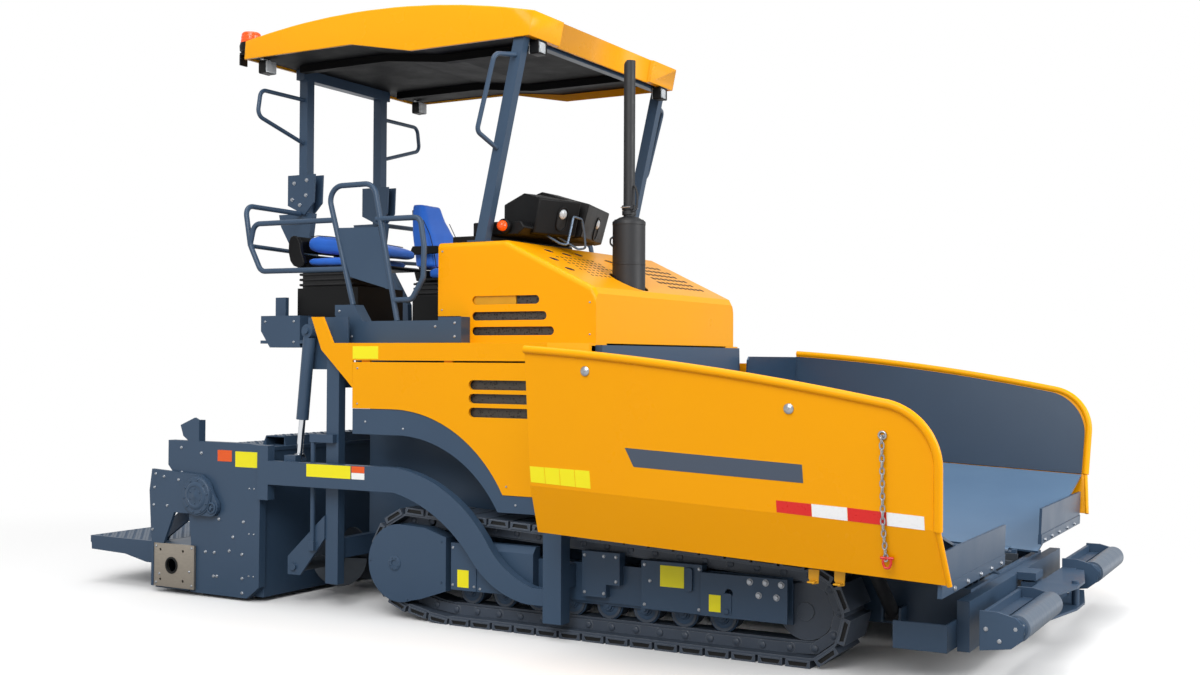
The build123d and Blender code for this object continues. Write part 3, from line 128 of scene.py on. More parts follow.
# %% Floor
def make_floor(half=60.0):
    """A level square, half its side in metres."""
    mesh = bpy.data.meshes.new("floor")
    mesh.from_pydata([(-half, -half, 0), (half, -half, 0), (half, half, 0), (-half, half, 0)], [], [(0, 1, 2, 3)])
    floor = bpy.data.objects.new("floor", mesh)
    bpy.context.scene.collection.objects.link(floor)
    material, tree = blank("studio_floor")
    coords = add(tree, "ShaderNodeTexCoord", {})
    squeeze = add(tree, "ShaderNodeMapping", {"Vector": coords.outputs["Object"], "Scale": (0.155, 0.28, 1.0)})
    far = add(tree, "ShaderNodeVectorMath", {"operation": "LENGTH", 0: squeeze.outputs[0]})
    fade = add(tree, "ShaderNodeMapRange", {"interpolation_type": "SMOOTHSTEP", "Value": far.outputs["Value"],
                                            "From Min": 0.62, "From Max": 1.15})
    path = add(tree, "ShaderNodeLightPath", {})
    tone = add(tree, "ShaderNodeMix", {"data_type": "RGBA", "Factor": path.outputs["Is Camera Ray"],
                                       "A": srgb("#9C9C9C"), "B": srgb("#F4F4F4")})
    matt = add(tree, "ShaderNodeBsdfDiffuse", {"Color": tone.outputs["Result"]})
    glow = add(tree, "ShaderNodeEmission", {"Color": (1, 1, 1, 1), "Strength": 1.0})
    seen = add(tree, "ShaderNodeMath", {"operation": "MAXIMUM", 0: path.outputs["Is Camera Ray"],
                                        1: path.outputs["Is Glossy Ray"]})
    factor = add(tree, "ShaderNodeMath", {"operation": "MULTIPLY", 0: fade.outputs[0], 1: seen.outputs[0]})
    mix = add(tree, "ShaderNodeMixShader", {"Fac": factor.outputs[0], 1: matt.outputs[0], 2: glow.outputs[0]})
    add(tree, "ShaderNodeOutputMaterial", {"Surface": mix.outputs[0]})
    mesh.materials.append(material)
    print("floor:", 2 * half, "m wide")


make_floor()

# %% Sky and lamps
def make_light():
    world = bpy.data.worlds.new("studio")
    bpy.context.scene.world = world
    world.use_nodes = True
    tree = world.node_tree
    tree.nodes.clear()
    path = add(tree, "ShaderNodeLightPath", {})
    seen = add(tree, "ShaderNodeMath", {"operation": "MAXIMUM", 0: path.outputs["Is Camera Ray"],
                                        1: path.outputs["Is Transmission Ray"]})
    strength = add(tree, "ShaderNodeMapRange", {"Value": seen.outputs[0], "To Min": 0.66, "To Max": 1.0})
    sky = add(tree, "ShaderNodeBackground", {"Color": (1, 1, 1, 1), "Strength": strength.outputs[0]})
    add(tree, "ShaderNodeOutputWorld", {"Surface": sky.outputs[0]})
    lamps = {
        # name: (place, aim, size, watts)
        "key_softbox": ((2.5, -9.0, 7.5), (0.0, 0.0, 1.2), 7.0, 720),
        "top_softbox": ((-1.0, -1.0, 11.0), (0.0, 0.0, 1.0), 9.0, 420),
        "front_softbox": ((10.0, 0.5, 4.5), (1.0, 0.0, 1.0), 6.0, 620),
    }
    for name, (place, aim, size, watts) in lamps.items():
        data = bpy.data.lights.new(name, "AREA")
        data.shape, data.size, data.energy = "DISK", size, watts
        lamp = bpy.data.objects.new(name, data)
        bpy.context.scene.collection.objects.link(lamp)
        lamp.location = place
        lamp.rotation_euler = (Vector(aim) - Vector(place)).to_track_quat("-Z", "Y").to_euler()
    print("lamps:", ", ".join(lamps))


make_light()
bpy.context.scene.view_settings.view_transform = "Standard"

# %% [markdown]
# ## Finishes
# Nearly everything on such a machine is painted steel, so one recipe serves many paints:
# a base colour that drifts a little, a skin of orange peel left by the spray gun, a
# gloss, and rounded edges. Sheet edges on the frame are knife sharp, so a Bevel node
# rounds the shading by two or three millimetres, as real folded sheet is.
# Where paint rubs off, the same Bevel node tells edges from flats.

# %% Painted and bare metal
def surface(name, base, other, patch_mm, peel_mm, peel, roughness, metallic=0.0, coat=0.0,
            edge=None, edge_mm=3.0, stretch=(1, 1, 1), rounded=2.5, shine=0.5):
    """A solid finish: two close colours in soft patches, a fine bump, and worn edges."""
    material, tree = blank(name)
    coords = add(tree, "ShaderNodeTexCoord", {})
    place = add(tree, "ShaderNodeMapping", {"Vector": coords.outputs["Object"], "Scale": stretch})
    patches = add(tree, "ShaderNodeTexNoise", {"Vector": place.outputs[0], "Scale": 1000 / patch_mm,
                                               "Detail": 5.0, "Roughness": 0.6})
    colour = add(tree, "ShaderNodeMix", {"data_type": "RGBA", "Factor": patches.outputs["Fac"],
                                         "A": srgb(base), "B": srgb(other)})
    tint = colour.outputs["Result"]
    fine = add(tree, "ShaderNodeTexNoise", {"Vector": place.outputs[0], "Scale": 1000 / peel_mm, "Detail": 2.0})
    soft = add(tree, "ShaderNodeBevel", {"samples": 4, "Radius": rounded * MM})
    bump = add(tree, "ShaderNodeBump", {"Strength": peel, "Distance": 0.0004, "Height": fine.outputs["Fac"],
                                        "Normal": soft.outputs[0]})
    rough = add(tree, "ShaderNodeMapRange", {"Value": patches.outputs["Fac"], "From Min": 0.3, "From Max": 0.7,
                                             "To Min": roughness - 0.05, "To Max": roughness + 0.07})
    if edge:
        wide = add(tree, "ShaderNodeBevel", {"samples": 4, "Radius": edge_mm * MM})
        geometry = add(tree, "ShaderNodeNewGeometry", {})
        same = add(tree, "ShaderNodeVectorMath", {"operation": "DOT_PRODUCT", 0: wide.outputs[0],
                                                  1: geometry.outputs["Normal"]})
        rub = add(tree, "ShaderNodeMapRange", {"Value": same.outputs["Value"], "From Min": 0.97, "From Max": 0.80,
                                               "To Min": 0.0, "To Max": 1.0})
        patchy = add(tree, "ShaderNodeMath", {"operation": "MULTIPLY", 0: rub.outputs[0], 1: fine.outputs["Fac"]})
        worn = add(tree, "ShaderNodeMix", {"data_type": "RGBA", "Factor": patchy.outputs[0], "A": tint,
                                           "B": srgb(edge)})
        tint = worn.outputs["Result"]
    shader = add(tree, "ShaderNodeBsdfPrincipled", {"Base Color": tint, "Roughness": rough.outputs[0],
                                                    "Normal": bump.outputs[0], "Metallic": metallic,
                                                    "Coat Weight": coat, "Coat Roughness": 0.08,
                                                    "Specular IOR Level": shine})
    add(tree, "ShaderNodeOutputMaterial", {"Surface": shader.outputs[0]})
    return material


# Gun-sprayed gloss enamel on sheet steel: bright, wet-looking, peel about 3 mm across.
YELLOW_ENAMEL = surface("yellow_gloss_enamel", "#F2A000", "#F6A703", 700, 3.0, 0.10, 0.30, shine=0.16)
# Gelcoat laid in a polished mould: the same yellow, smoother, with a long soft wave.
YELLOW_GELCOAT = surface("yellow_gelcoat", "#F2A102", "#F7A906", 900, 40.0, 0.10, 0.26, rounded=9, shine=0.2)
# Semi-gloss slate enamel on plate and castings.
SLATE_ENAMEL = surface("slate_semigloss_enamel", "#34485F", "#3B5067", 500, 2.5, 0.12, 0.36, shine=0.35)
# Heat-proof silicone paint: sooty, dry, no gloss coat.
HEATPROOF_BLACK = surface("heatproof_matt_black", "#17181B", "#1E2024", 60, 1.5, 0.25, 0.52)
# The same slate enamel on track shoes, rubbed to steel where they meet the ground.
TRACK_ENAMEL = surface("track_enamel_worn", "#3A4350", "#454F5D", 120, 4.0, 0.25, 0.42, edge="#8A8D90", edge_mm=5)
# Rolled wear plate: dark mill scale polished in streaks by the mix.
WEAR_PLATE = surface("rolled_wear_plate", "#42484F", "#555C64", 90, 5.0, 0.2, 0.40, metallic=0.6,
                     stretch=(0.25, 1, 1))
# Turned tube of the push rollers: fine rings round the axis, a hard grey sheen.
TURNED_STEEL = surface("turned_roller_steel", "#596879", "#66768A", 150, 2.0, 0.15, 0.34, metallic=0.55,
                       stretch=(1, 6, 1))
# Machined plate, oiled and lightly toned by the air.
MACHINED_STEEL = surface("machined_bright_steel", "#B4AA9C", "#9D968C", 40, 1.5, 0.2, 0.36, metallic=0.75,
                         stretch=(1, 1, 5))
# Hard chrome on ground rod.
HARD_CHROME = surface("ground_hard_chrome", "#D5D8DC", "#DFE2E6", 200, 1.0, 0.02, 0.12, metallic=1.0)
# Moulded ABS or polyamide with a fine spark-eroded grain.
BLACK_MOULDING = surface("grained_black_moulding", "#0B0B0C", "#0F1012", 200, 1.8, 0.30, 0.44, shine=0.22)
print("paints and metals:", len(bpy.data.materials))

# %% [markdown]
# ## Lenses and cloth
# A work lamp is a bright bowl behind clear polycarbonate, a beacon a dome of amber
# acrylic. Both are thick clear plastic, so they transmit and bend light at an index
# near 1.5. The seats wear vinyl-coated cloth with an embossed weave of ribs 10 mm apart.

# %% Lenses
def lens(name, code, transmission, roughness, glow=0.0):
    material, tree = blank(name)
    coords = add(tree, "ShaderNodeTexCoord", {})
    flutes = add(tree, "ShaderNodeTexWave", {"Vector": coords.outputs["Object"], "Scale": 28.0,
                                             "bands_direction": "Y", "Distortion": 0.0})
    bump = add(tree, "ShaderNodeBump", {"Strength": 0.25, "Distance": 0.001, "Height": flutes.outputs["Fac"]})
    shader = add(tree, "ShaderNodeBsdfPrincipled", {
        "Base Color": srgb(code), "Roughness": roughness, "IOR": 1.49, "Transmission Weight": transmission,
        "Normal": bump.outputs[0], "Emission Color": srgb(code), "Emission Strength": glow})
    add(tree, "ShaderNodeOutputMaterial", {"Surface": shader.outputs[0]})
    return material


LAMP_LENS = lens("clear_polycarbonate_lens", "#DDE2E6", 0.35, 0.12)
AMBER_LENS = lens("amber_acrylic_dome", "#FF5A10", 0.25, 0.15, 0.25)
print("lenses:", LAMP_LENS.name, AMBER_LENS.name)

# %% Seat cloth
WEAVE_SCALE = 31.25                    # a wave texture runs through 20 radians a unit at scale 1


def seat_cloth():
    material, tree = blank("blue_coated_cloth")
    coords = add(tree, "ShaderNodeTexCoord", {})
    ways = []
    for direction in ("X", "Y", "Z"):
        ways.append(add(tree, "ShaderNodeTexWave", {"Vector": coords.outputs["Object"], "wave_profile": "SIN",
                                                    "bands_direction": direction, "Scale": WEAVE_SCALE}))
    weave = add(tree, "ShaderNodeMath", {"operation": "MAXIMUM", 0: ways[0].outputs["Fac"],
                                         1: ways[1].outputs["Fac"]})
    weave = add(tree, "ShaderNodeMath", {"operation": "MULTIPLY", 0: weave.outputs[0], 1: ways[2].outputs["Fac"]})
    worn = add(tree, "ShaderNodeTexNoise", {"Vector": coords.outputs["Object"], "Scale": 9.0, "Detail": 4.0})
    colour = add(tree, "ShaderNodeMix", {"data_type": "RGBA", "Factor": worn.outputs["Fac"],
                                         "A": srgb("#0B5CC6"), "B": srgb("#126CDA")})
    bump = add(tree, "ShaderNodeBump", {"Strength": 0.35, "Distance": 0.0006, "Height": weave.outputs[0]})
    shader = add(tree, "ShaderNodeBsdfPrincipled", {"Base Color": colour.outputs["Result"], "Roughness": 0.62,
                                                    "Sheen Weight": 0.25, "Normal": bump.outputs[0]})
    add(tree, "ShaderNodeOutputMaterial", {"Surface": shader.outputs[0]})
    return material


SEAT_CLOTH = seat_cloth()
print("weave rib:", round(2 * math.pi / 20 / WEAVE_SCALE / MM, 1), "mm")

# %% Give every node its finish
FINISH = {
    "yellow_paint": YELLOW_ENAMEL, "yellow_gelcoat": YELLOW_GELCOAT, "slate_paint": SLATE_ENAMEL,
    "black_paint": HEATPROOF_BLACK, "track_steel": TRACK_ENAMEL, "wear_steel": WEAR_PLATE,
    "roller_steel": TURNED_STEEL, "bright_steel": MACHINED_STEEL, "lamp_glass": LAMP_LENS,
    "amber_lens": AMBER_LENS, "chrome_rod": HARD_CHROME, "black_plastic": BLACK_MOULDING,
    "seat_cloth": SEAT_CLOTH,
}
SLOT_OF = {part["node"]: part["material_slot"] for part in frame["record"]["subparts"]}
for name, obj in NODES.items():
    for material_slot in obj.material_slots:
        material_slot.material = FINISH[SLOT_OF[name]]
print("finished:", len(SLOT_OF), "nodes")

# %% [markdown]
# ## Building small things
# Bolts, brackets and plates are too many to draw one by one. Each is made in mesh code
# from two moves that a workshop knows: push an outline along a line, or turn a profile
# about an axis. A third bends a round bar. Sizes are in millimetres, as on a drawing, and
# become metres when the mesh is made. What the machine has on both sides is built on
# the right and mirrored.

# %% Push and turn
def at(node, edge):
    """One side of a frame node's box in millimetres, such as x0 or z1."""
    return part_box(node)[int(edge[1])]["xyz".index(edge[0])] / MM


def spot(run, a, b, along):
    """A point from the two coordinates across a run and the one along it."""
    return {"x": (along, a, b), "y": (a, along, b), "z": (a, b, along)}[run]


def turn_of(count):
    """Angles that share out a full turn."""
    return [2 * math.pi * k / count for k in range(count)]


def prism(bm, outline, lo, hi, run="y"):
    """A closed outline pushed from lo to hi along the run."""
    low, high = ([bm.verts.new(spot(run, a, b, d)) for a, b in outline] for d in (lo, hi))
    bm.faces.new(low)
    bm.faces.new(high)
    for i in range(len(outline)):
        j = (i + 1) % len(outline)
        bm.faces.new((low[i], low[j], high[j], high[i]))


def turned(bm, profile, a, b, run="y", sides=24):
    """A round piece: (radius, along) pairs turned about the line through (a, b)."""
    rings = []
    for radius, along in profile:
        if radius == 0:
            rings.append([bm.verts.new(spot(run, a, b, along))])
            continue
        rings.append([bm.verts.new(spot(run, a + radius * math.cos(t), b + radius * math.sin(t), along))
                      for t in turn_of(sides)])
    for one, two in zip(rings, rings[1:]):
        for k in range(sides):
            corners = (one[k % len(one)], one[(k + 1) % len(one)], two[(k + 1) % len(two)], two[k % len(two)])
            bm.faces.new(list(dict.fromkeys(corners)))


print("hood top at", round(at("hood", "z1")), "mm")

# %% Bend and frame
BEND_STEPS = 6


def tube(bm, points, radius, bend=0, sides=12, closed=False):
    """A round bar along straight runs, with a bend at each corner."""
    path = [Vector(p) for p in points]
    if bend:
        soft = [path[0]]
        for before, corner, after in zip(path, path[1:], path[2:]):
            near = corner + (before - corner).normalized() * min(bend, (before - corner).length * 0.45)
            far = corner + (after - corner).normalized() * min(bend, (after - corner).length * 0.45)
            for t in (k / BEND_STEPS for k in range(BEND_STEPS + 1)):
                soft.append(near * (1 - t) ** 2 + corner * 2 * t * (1 - t) + far * t * t)
        path = soft + [path[-1]]
    rings, side = [], None
    for i, point in enumerate(path):
        if closed:
            ahead = path[(i + 1) % len(path)] - path[i - 1]
        else:
            ahead = path[min(i + 1, len(path) - 1)] - path[max(i - 1, 0)]
        ahead.normalize()
        side = side or ahead.orthogonal()
        side = (side - ahead * side.dot(ahead)).normalized()
        other = ahead.cross(side)
        rings.append([bm.verts.new(point + (side * math.cos(t) + other * math.sin(t)) * radius)
                      for t in turn_of(sides)])
    for one, two in zip(rings, rings[1:] + (rings[:1] if closed else [])):
        for k in range(sides):
            bm.faces.new((one[k], one[(k + 1) % sides], two[(k + 1) % sides], two[k]))
    if not closed:
        bm.faces.new(rings[0])
        bm.faces.new(rings[-1])


def frame_of(bm, outer, inner, lo, hi, run="y"):
    """A flat frame between two outlines of as many points, pushed from lo to hi."""
    loops = [[[bm.verts.new(spot(run, a, b, d)) for a, b in ring] for ring in (outer, inner)] for d in (lo, hi)]
    (lo_out, lo_in), (hi_out, hi_in) = loops
    for i in range(len(outer)):
        j = (i + 1) % len(outer)
        for corners in ((hi_out[i], hi_out[j], hi_in[j], hi_in[i]), (lo_out[i], lo_out[j], lo_in[j], lo_in[i]),
                        (lo_out[i], lo_out[j], hi_out[j], hi_out[i]), (lo_in[i], lo_in[j], hi_in[j], hi_in[i])):
            bm.faces.new(corners)


print("steps in a bend:", BEND_STEPS)

# %% Outlines, and from mesh to piece
def rounded(a0, a1, b0, b1, r, steps=4):
    """Outline of a rectangle with round corners."""
    outline = []
    for a, b, start in ((a1 - r, b1 - r, 0), (a0 + r, b1 - r, 90), (a0 + r, b0 + r, 180), (a1 - r, b0 + r, 270)):
        for k in range(steps + 1):
            t = math.radians(start + 90 * k / steps)
            outline.append((a + r * math.cos(t), b + r * math.sin(t)))
    return outline


def make(name, bm, material, body="root", bevel=0.0, smooth=35, place=None):
    """Turn a millimetre mesh into a piece that rides on a body."""
    if place is not None:
        bm.transform(place)
    bmesh.ops.recalc_face_normals(bm, faces=bm.faces)
    bm.transform(Matrix.Scale(MM, 4))
    mesh = bpy.data.meshes.new(name)
    bm.to_mesh(mesh)
    bm.free()
    mesh.materials.append(material)
    mesh.shade_smooth()
    mesh.set_sharp_from_angle(angle=math.radians(smooth))
    obj = bpy.data.objects.new(name, mesh)
    bpy.context.scene.collection.objects.link(obj)
    if bevel:
        edges = obj.modifiers.new("eased_edges", "BEVEL")
        edges.width, edges.segments, edges.angle_limit = bevel * MM, 2, math.radians(40)
    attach(obj, body)
    return obj


def both_sides(name, build, material, body="root", bevel=0.0, smooth=35):
    """Build on the machine's right, and again, mirrored, on its left."""
    for side in ("right", "left"):
        bm = bmesh.new()
        build(bm)
        if side == "left":
            bm.transform(Matrix.Scale(-1, 4, (0, 1, 0)))
        make(f"{name}_{side}", bm, material, body.format(side=side), bevel, smooth)


def bolt(bm, a, b, face, out, size, run="y"):
    """Washer and hexagon head on a face; out is the way it looks along the run."""
    thick, head = 0.2 * size, 0.65 * size
    turned(bm, [(0, face - out), (1.15 * size, face - out), (1.15 * size, face + out * thick),
                (0, face + out * thick)], a, b, run, 16)
    turned(bm, [(0, face), (0.92 * size, face), (0.92 * size, face + out * (thick + head * 0.85)),
                (0.78 * size, face + out * (thick + head)), (0, face + out * (thick + head))], a, b, run, 6)


def bolt_circle(bm, a, b, radius, count, first, face, size):
    """Bolts shared out on a circle that looks to the machine's right; first is an angle in degrees."""
    for k in range(count):
        t = math.radians(first + 360 / count * k)
        bolt(bm, a + radius * math.cos(t), b + radius * math.sin(t), face, -1, size)


print("helpers ready")

# %% [markdown]
# ## Small finishes
# Zinc-plated fasteners are a pale cool grey with a soft sparkle. Printed vinyl is flat
# in colour with a satin skin. Rubber is dark and dry, and a shackle wears red enamel.

# %% Small finishes
ZINC = surface("zinc_plated_steel", "#B4B8BE", "#A2A7AE", 25, 1.0, 0.15, 0.34, metallic=0.85)
YELLOW_VINYL = surface("yellow_vinyl", "#F3E600", "#F7EB10", 60, 1.0, 0.04, 0.40, rounded=0.5)
ORANGE_VINYL = surface("orange_vinyl", "#E8560F", "#EC5E16", 60, 1.0, 0.04, 0.40, rounded=0.5)
WHITE_VINYL = surface("white_vinyl", "#F2F2EE", "#FAFAF6", 60, 1.0, 0.04, 0.40, rounded=0.5)
RED_TAPE = surface("red_reflective_tape", "#D3130F", "#DE1C16", 12, 3.0, 0.3, 0.30, rounded=0.5)
WHITE_TAPE = surface("white_reflective_tape", "#E9EAEC", "#F5F6F7", 12, 3.0, 0.3, 0.30, rounded=0.5)
SLATE_FILM = surface("slate_printed_film", "#3F4A5A", "#445062", 300, 2.0, 0.05, 0.35, rounded=0.5)
DARK_RUBBER = surface("dark_rubber", "#141416", "#1B1B1D", 30, 2.0, 0.3, 0.62)
RED_ENAMEL = surface("red_enamel", "#CF1F16", "#D92A1E", 40, 2.0, 0.1, 0.32, coat=0.3)
# Near-black, rough and matt: painted shade, laid in hollows, openings and recesses where shade falls.
PAINTED_SHADE_BLACK = surface("painted_shade_black", "#08090A", "#0C0D0E", 40, 2.0, 0.1, 0.7)
OCHRE_ENAMEL = surface("ochre_zinc_bracket", "#D0930F", "#DBA21C", 40, 2.0, 0.2, 0.38, metallic=0.3)
print("small finishes:", len(bpy.data.materials))

# %% [markdown]
# ## Track chain
# A crawler chain is a row of forged links joined by pins, with a pressed shoe bolted on
# each. The frame carries the belt as one body, with the shoes and the rail. The link
# plates, the pin ends and the rims round the shoes' hollow ends are added here, with a
# near-black plate of painted shade inside each end. They are placed by walking round the
# three wheels that the belt lies on, so that each link sits over its own shoe.

# %% Walk round the belt
WHEELS = [(-400, 345, 300), (-190, 230, 230), (1965, 260, 260)]      # x, z, radius to the ground face
SHOES, SHOE_H, CHAIN_H, GAP_BETWEEN = 43, 42, 115, 16
PIN_DEPTH = 0.46                                                     # of the rail's height, from the shoes
TRACK_MIDDLE, TRACK_HALF = 1090, 150
OPEN_END, INNER_END = -(TRACK_MIDDLE + TRACK_HALF), -(TRACK_MIDDLE - TRACK_HALF)


def belt_runs():
    """Arcs and straight runs of the line where shoes meet links."""
    wheels = [(x, z, r - SHOE_H) for x, z, r in WHEELS]
    joins = []
    for (x0, z0, r0), (x1, z1, r1) in zip(wheels, wheels[1:] + wheels[:1]):
        heading = math.atan2(z1 - z0, x1 - x0)
        facing = heading - math.pi / 2 + math.asin((r0 - r1) / math.hypot(x1 - x0, z1 - z0))
        way = Vector((math.cos(facing), math.sin(facing)))
        joins.append((Vector((x0, z0)) + way * r0, Vector((x1, z1)) + way * r1, facing))
    runs = []
    for i, ((x, z, r), (start, end, facing)) in enumerate(zip(wheels, joins)):
        before = joins[i - 1][2]
        turn = (facing - before) % (2 * math.pi)
        runs.append((r * turn, lambda s, x=x, z=z, r=r, a=before:
                     (Vector((x + r * math.cos(a + s / r), z + r * math.sin(a + s / r))), a + s / r)))
        length = (end - start).length
        runs.append((length, lambda s, p=start, q=end, n=length, a=facing: (p.lerp(q, s / n), a)))
    return runs


RUNS = belt_runs()
BELT_LENGTH = sum(length for length, place in RUNS)
SHOE_PITCH = BELT_LENGTH / SHOES


def station(shoes):
    """Point and outward angle along the belt, so many shoes on from its start."""
    s = shoes * SHOE_PITCH % BELT_LENGTH
    for length, place in RUNS:
        if s <= length:
            return place(s)
        s -= length
    return RUNS[-1][1](RUNS[-1][0])


print("belt", round(BELT_LENGTH), "mm, pitch", round(SHOE_PITCH, 1), "mm")

# %% Links, pins and shoe ends
def pin_middle(shoes):
    """Middle of a pin: a part of the rail's height inside the line of the shoes."""
    point, angle = station(shoes)
    inward = Vector((-math.cos(angle), -math.sin(angle)))
    return point + inward * (CHAIN_H - SHOE_H) * PIN_DEPTH


def on_shoe(shoe, pairs):
    """An outline given as (outward, along) pairs, set on a shoe."""
    point, angle = station(shoe)
    out = Vector((math.cos(angle), math.sin(angle)))
    along = Vector((-out.y, out.x))
    return [tuple(point + out * n + along * t) for n, t in pairs]


def shoe_window(low, high, half, slant):
    """A shoe's end as (outward, along) pairs: its foot as wide as half, its top less the slant."""
    return [(low, -half), (high, slant - half), (high, half - slant), (low, half)]


def link_plates(bm):
    """Two plates with round pin bosses for each shoe, on both sides of the rail."""
    for k in range(SHOES):
        centres = [pin_middle(k + part) for part in (-0.5, 0.5)]
        along = (centres[1] - centres[0]).normalized()
        across = Vector((-along.y, along.x))
        outline = []
        for centre, start in ((centres[1], -90), (centres[0], 90)):
            for step in range(7):
                t = math.radians(start + 30 * step)
                outline.append(tuple(centre + (along * math.cos(t) + across * math.sin(t)) * 27))
        for face, out in ((TRACK_MIDDLE + 60, 1), (TRACK_MIDDLE - 60, -1)):
            step = 10 if k % 2 else 0
            lo, hi = sorted((-(face + out * step * 0.4), -(face + out * (14 + step * 0.2))))
            prism(bm, outline, lo, hi)


def track_pins(bm):
    """Pin ends on both sides of the rail."""
    for k in range(SHOES):
        centre = pin_middle(k + 0.5)
        for face, out in ((TRACK_MIDDLE + 74, 1), (TRACK_MIDDLE - 74, -1)):
            turned(bm, [(0, -face), (17, -face), (17, -(face + out * 8)), (12, -(face + out * 11)),
                        (0, -(face + out * 11))], centre.x, centre.y, sides=12)


def shoe_ends(bm):
    """The rolled rim round a shoe's open end: a narrow frame that stands proud of it."""
    half = (SHOE_PITCH - GAP_BETWEEN) / 2
    outer, inner = shoe_window(4, SHOE_H, half, 0), shoe_window(13, SHOE_H - 8, half - 12, 8)
    for k in range(SHOES):
        for face, way in ((OPEN_END, -1), (INNER_END, 1)):
            frame_of(bm, on_shoe(k, outer), on_shoe(k, inner), face - way, face + 9 * way)


def shoe_hollow_shade(bm):
    """Painted shade: a near-black plate inside each shoe's end, where its hollow is in shade."""
    outline = shoe_window(12, SHOE_H - 7, (SHOE_PITCH - GAP_BETWEEN) / 2 - 11, 8)
    for k in range(SHOES):
        for face, way in ((OPEN_END, -1), (INNER_END, 1)):
            lo, hi = sorted((face - way, face + 1.5 * way))
            prism(bm, on_shoe(k, outline), lo, hi)


both_sides("track_link_plates", link_plates, TRACK_ENAMEL)
both_sides("track_pins", track_pins, TRACK_ENAMEL)
both_sides("shoe_rims", shoe_ends, TRACK_ENAMEL)
both_sides("shoe_hollow_shade", shoe_hollow_shade, PAINTED_SHADE_BLACK)
print("links:", 2 * SHOES, "a side")

# %% [markdown]
# ## Rollers, guards and their bolts
# A bottom roller turns on a shaft whose end shows as a stepped cap with a grease plug.
# The drive guard has a hub cover with a ring of screws, the idler's yoke plate five
# heavy bolts.

# %% Roller caps and frame bolts
ROLLERS = [(-52 + 224 * k, 187.5) for k in range(8)]


def roller_caps(bm):
    for x, z in ROLLERS:
        face = -(TRACK_MIDDLE + 55)
        turned(bm, [(0, face + 4), (58, face + 4), (58, face), (50, face - 3), (36, face - 3), (34, face - 9),
                    (26, face - 10), (24, face - 20), (13, face - 20), (12, face - 26), (0, face - 26)], x, z)
        turned(bm, [(80, face + 18), (80, face + 8), (74, face + 4), (74, face + 18)], x, z, sides=32)


def drive_hub(bm):
    face = OPEN_END - 24
    turned(bm, [(20, face + 2), (44, face + 2), (44, face - 3), (40, face - 5), (20, face - 5), (20, face + 2)],
           -515, 322, sides=36)
    bolt_circle(bm, -515, 322, 33, 8, 22.5, face - 5, 4)
    for x, z in ((-180, 240), (-180, 470), (-690, 330), (-420, 120)):
        bolt(bm, x, z, face, -1, 6)


def yoke_bolts(bm):
    for x, z in ((1705, 398), (1790, 400), (1873, 396), (1753, 334), (1848, 331)):
        bolt(bm, x, z, OPEN_END - 4, -1, 15)


def guide_and_latch(bm):
    face = OPEN_END + 14
    prism(bm, rounded(1340, 1382, 318, 440, 14), face - 16, face + 1)
    face = OPEN_END - 4
    prism(bm, rounded(1558, 1606, 222, 330, 10), face - 5, face + 1)
    turned(bm, [(0, face - 5), (13, face - 5), (13, face - 15), (0, face - 15)], 1582, 240)


both_sides("roller_caps", roller_caps, SLATE_ENAMEL, bevel=1.0)
both_sides("drive_hub_cover", drive_hub, SLATE_ENAMEL)
both_sides("yoke_bolts", yoke_bolts, ZINC)
both_sides("track_frame_latches", guide_and_latch, SLATE_ENAMEL, bevel=1.5)
print("rollers:", len(ROLLERS), "a side")

# %% [markdown]
# ## Films and tapes
# Warning plates are adhesive vinyl on the sheet metal: here they stay plain. To lie on a
# leaning or bent side they can't be flat plates, so each is a little grid whose points are
# dropped sideways on to the sheet behind it, then given the film's thickness.

# %% Lay a film on a side
TREES = {}
FAR_OUT = 4000                     # millimetres: outside the machine on every side


def beyond(node, run, a, b, start=-FAR_OUT, way=1):
    """Where a line along a run first meets a node, in millimetres; None if it misses."""
    if node not in TREES:
        TREES[node] = BVHTree.FromObject(NODES[node], bpy.context.evaluated_depsgraph_get())
    origin = Vector(spot(run, a, b, start)) * MM
    hit = TREES[node].ray_cast(origin, Vector(spot(run, 0, 0, way)))[0]
    return None if hit is None else hit["xyz".index(run)] / MM


def side_of(node, x, z):
    """Where a line from the machine's right first meets a node."""
    return beyond(node, "y", x, z)


def film(name, node, corners, material, body="root", grid=(10, 3), proud=1.2):
    """A film between four (x, z) corners, laid on a node's right side."""
    (ax, az), (bx, bz), (cx, cz), (dx, dz) = corners

    def build(bm):
        rows = []
        for j in range(grid[1] + 1):
            v, row = j / grid[1], []
            for i in range(grid[0] + 1):
                u = i / grid[0]
                x = (ax * (1 - u) + bx * u) * (1 - v) + (dx * (1 - u) + cx * u) * v
                z = (az * (1 - u) + bz * u) * (1 - v) + (dz * (1 - u) + cz * u) * v
                y = side_of(node, x, z)
                if y is None:
                    raise SystemExit(f"{name}: no sheet at {x:.0f}, {z:.0f}")
                row.append(bm.verts.new((x, y - proud, z)))
            rows.append(row)
        faces = [bm.faces.new((rows[j][i], rows[j][i + 1], rows[j + 1][i + 1], rows[j + 1][i]))
                 for j in range(grid[1]) for i in range(grid[0])]
        bmesh.ops.recalc_face_normals(bm, faces=faces)
        bmesh.ops.solidify(bm, geom=faces, thickness=0.9)

    both_sides(name, build, material, body)


print("wing wall at", round(side_of("wing_skin_right", 2138, 1292)), "mm")

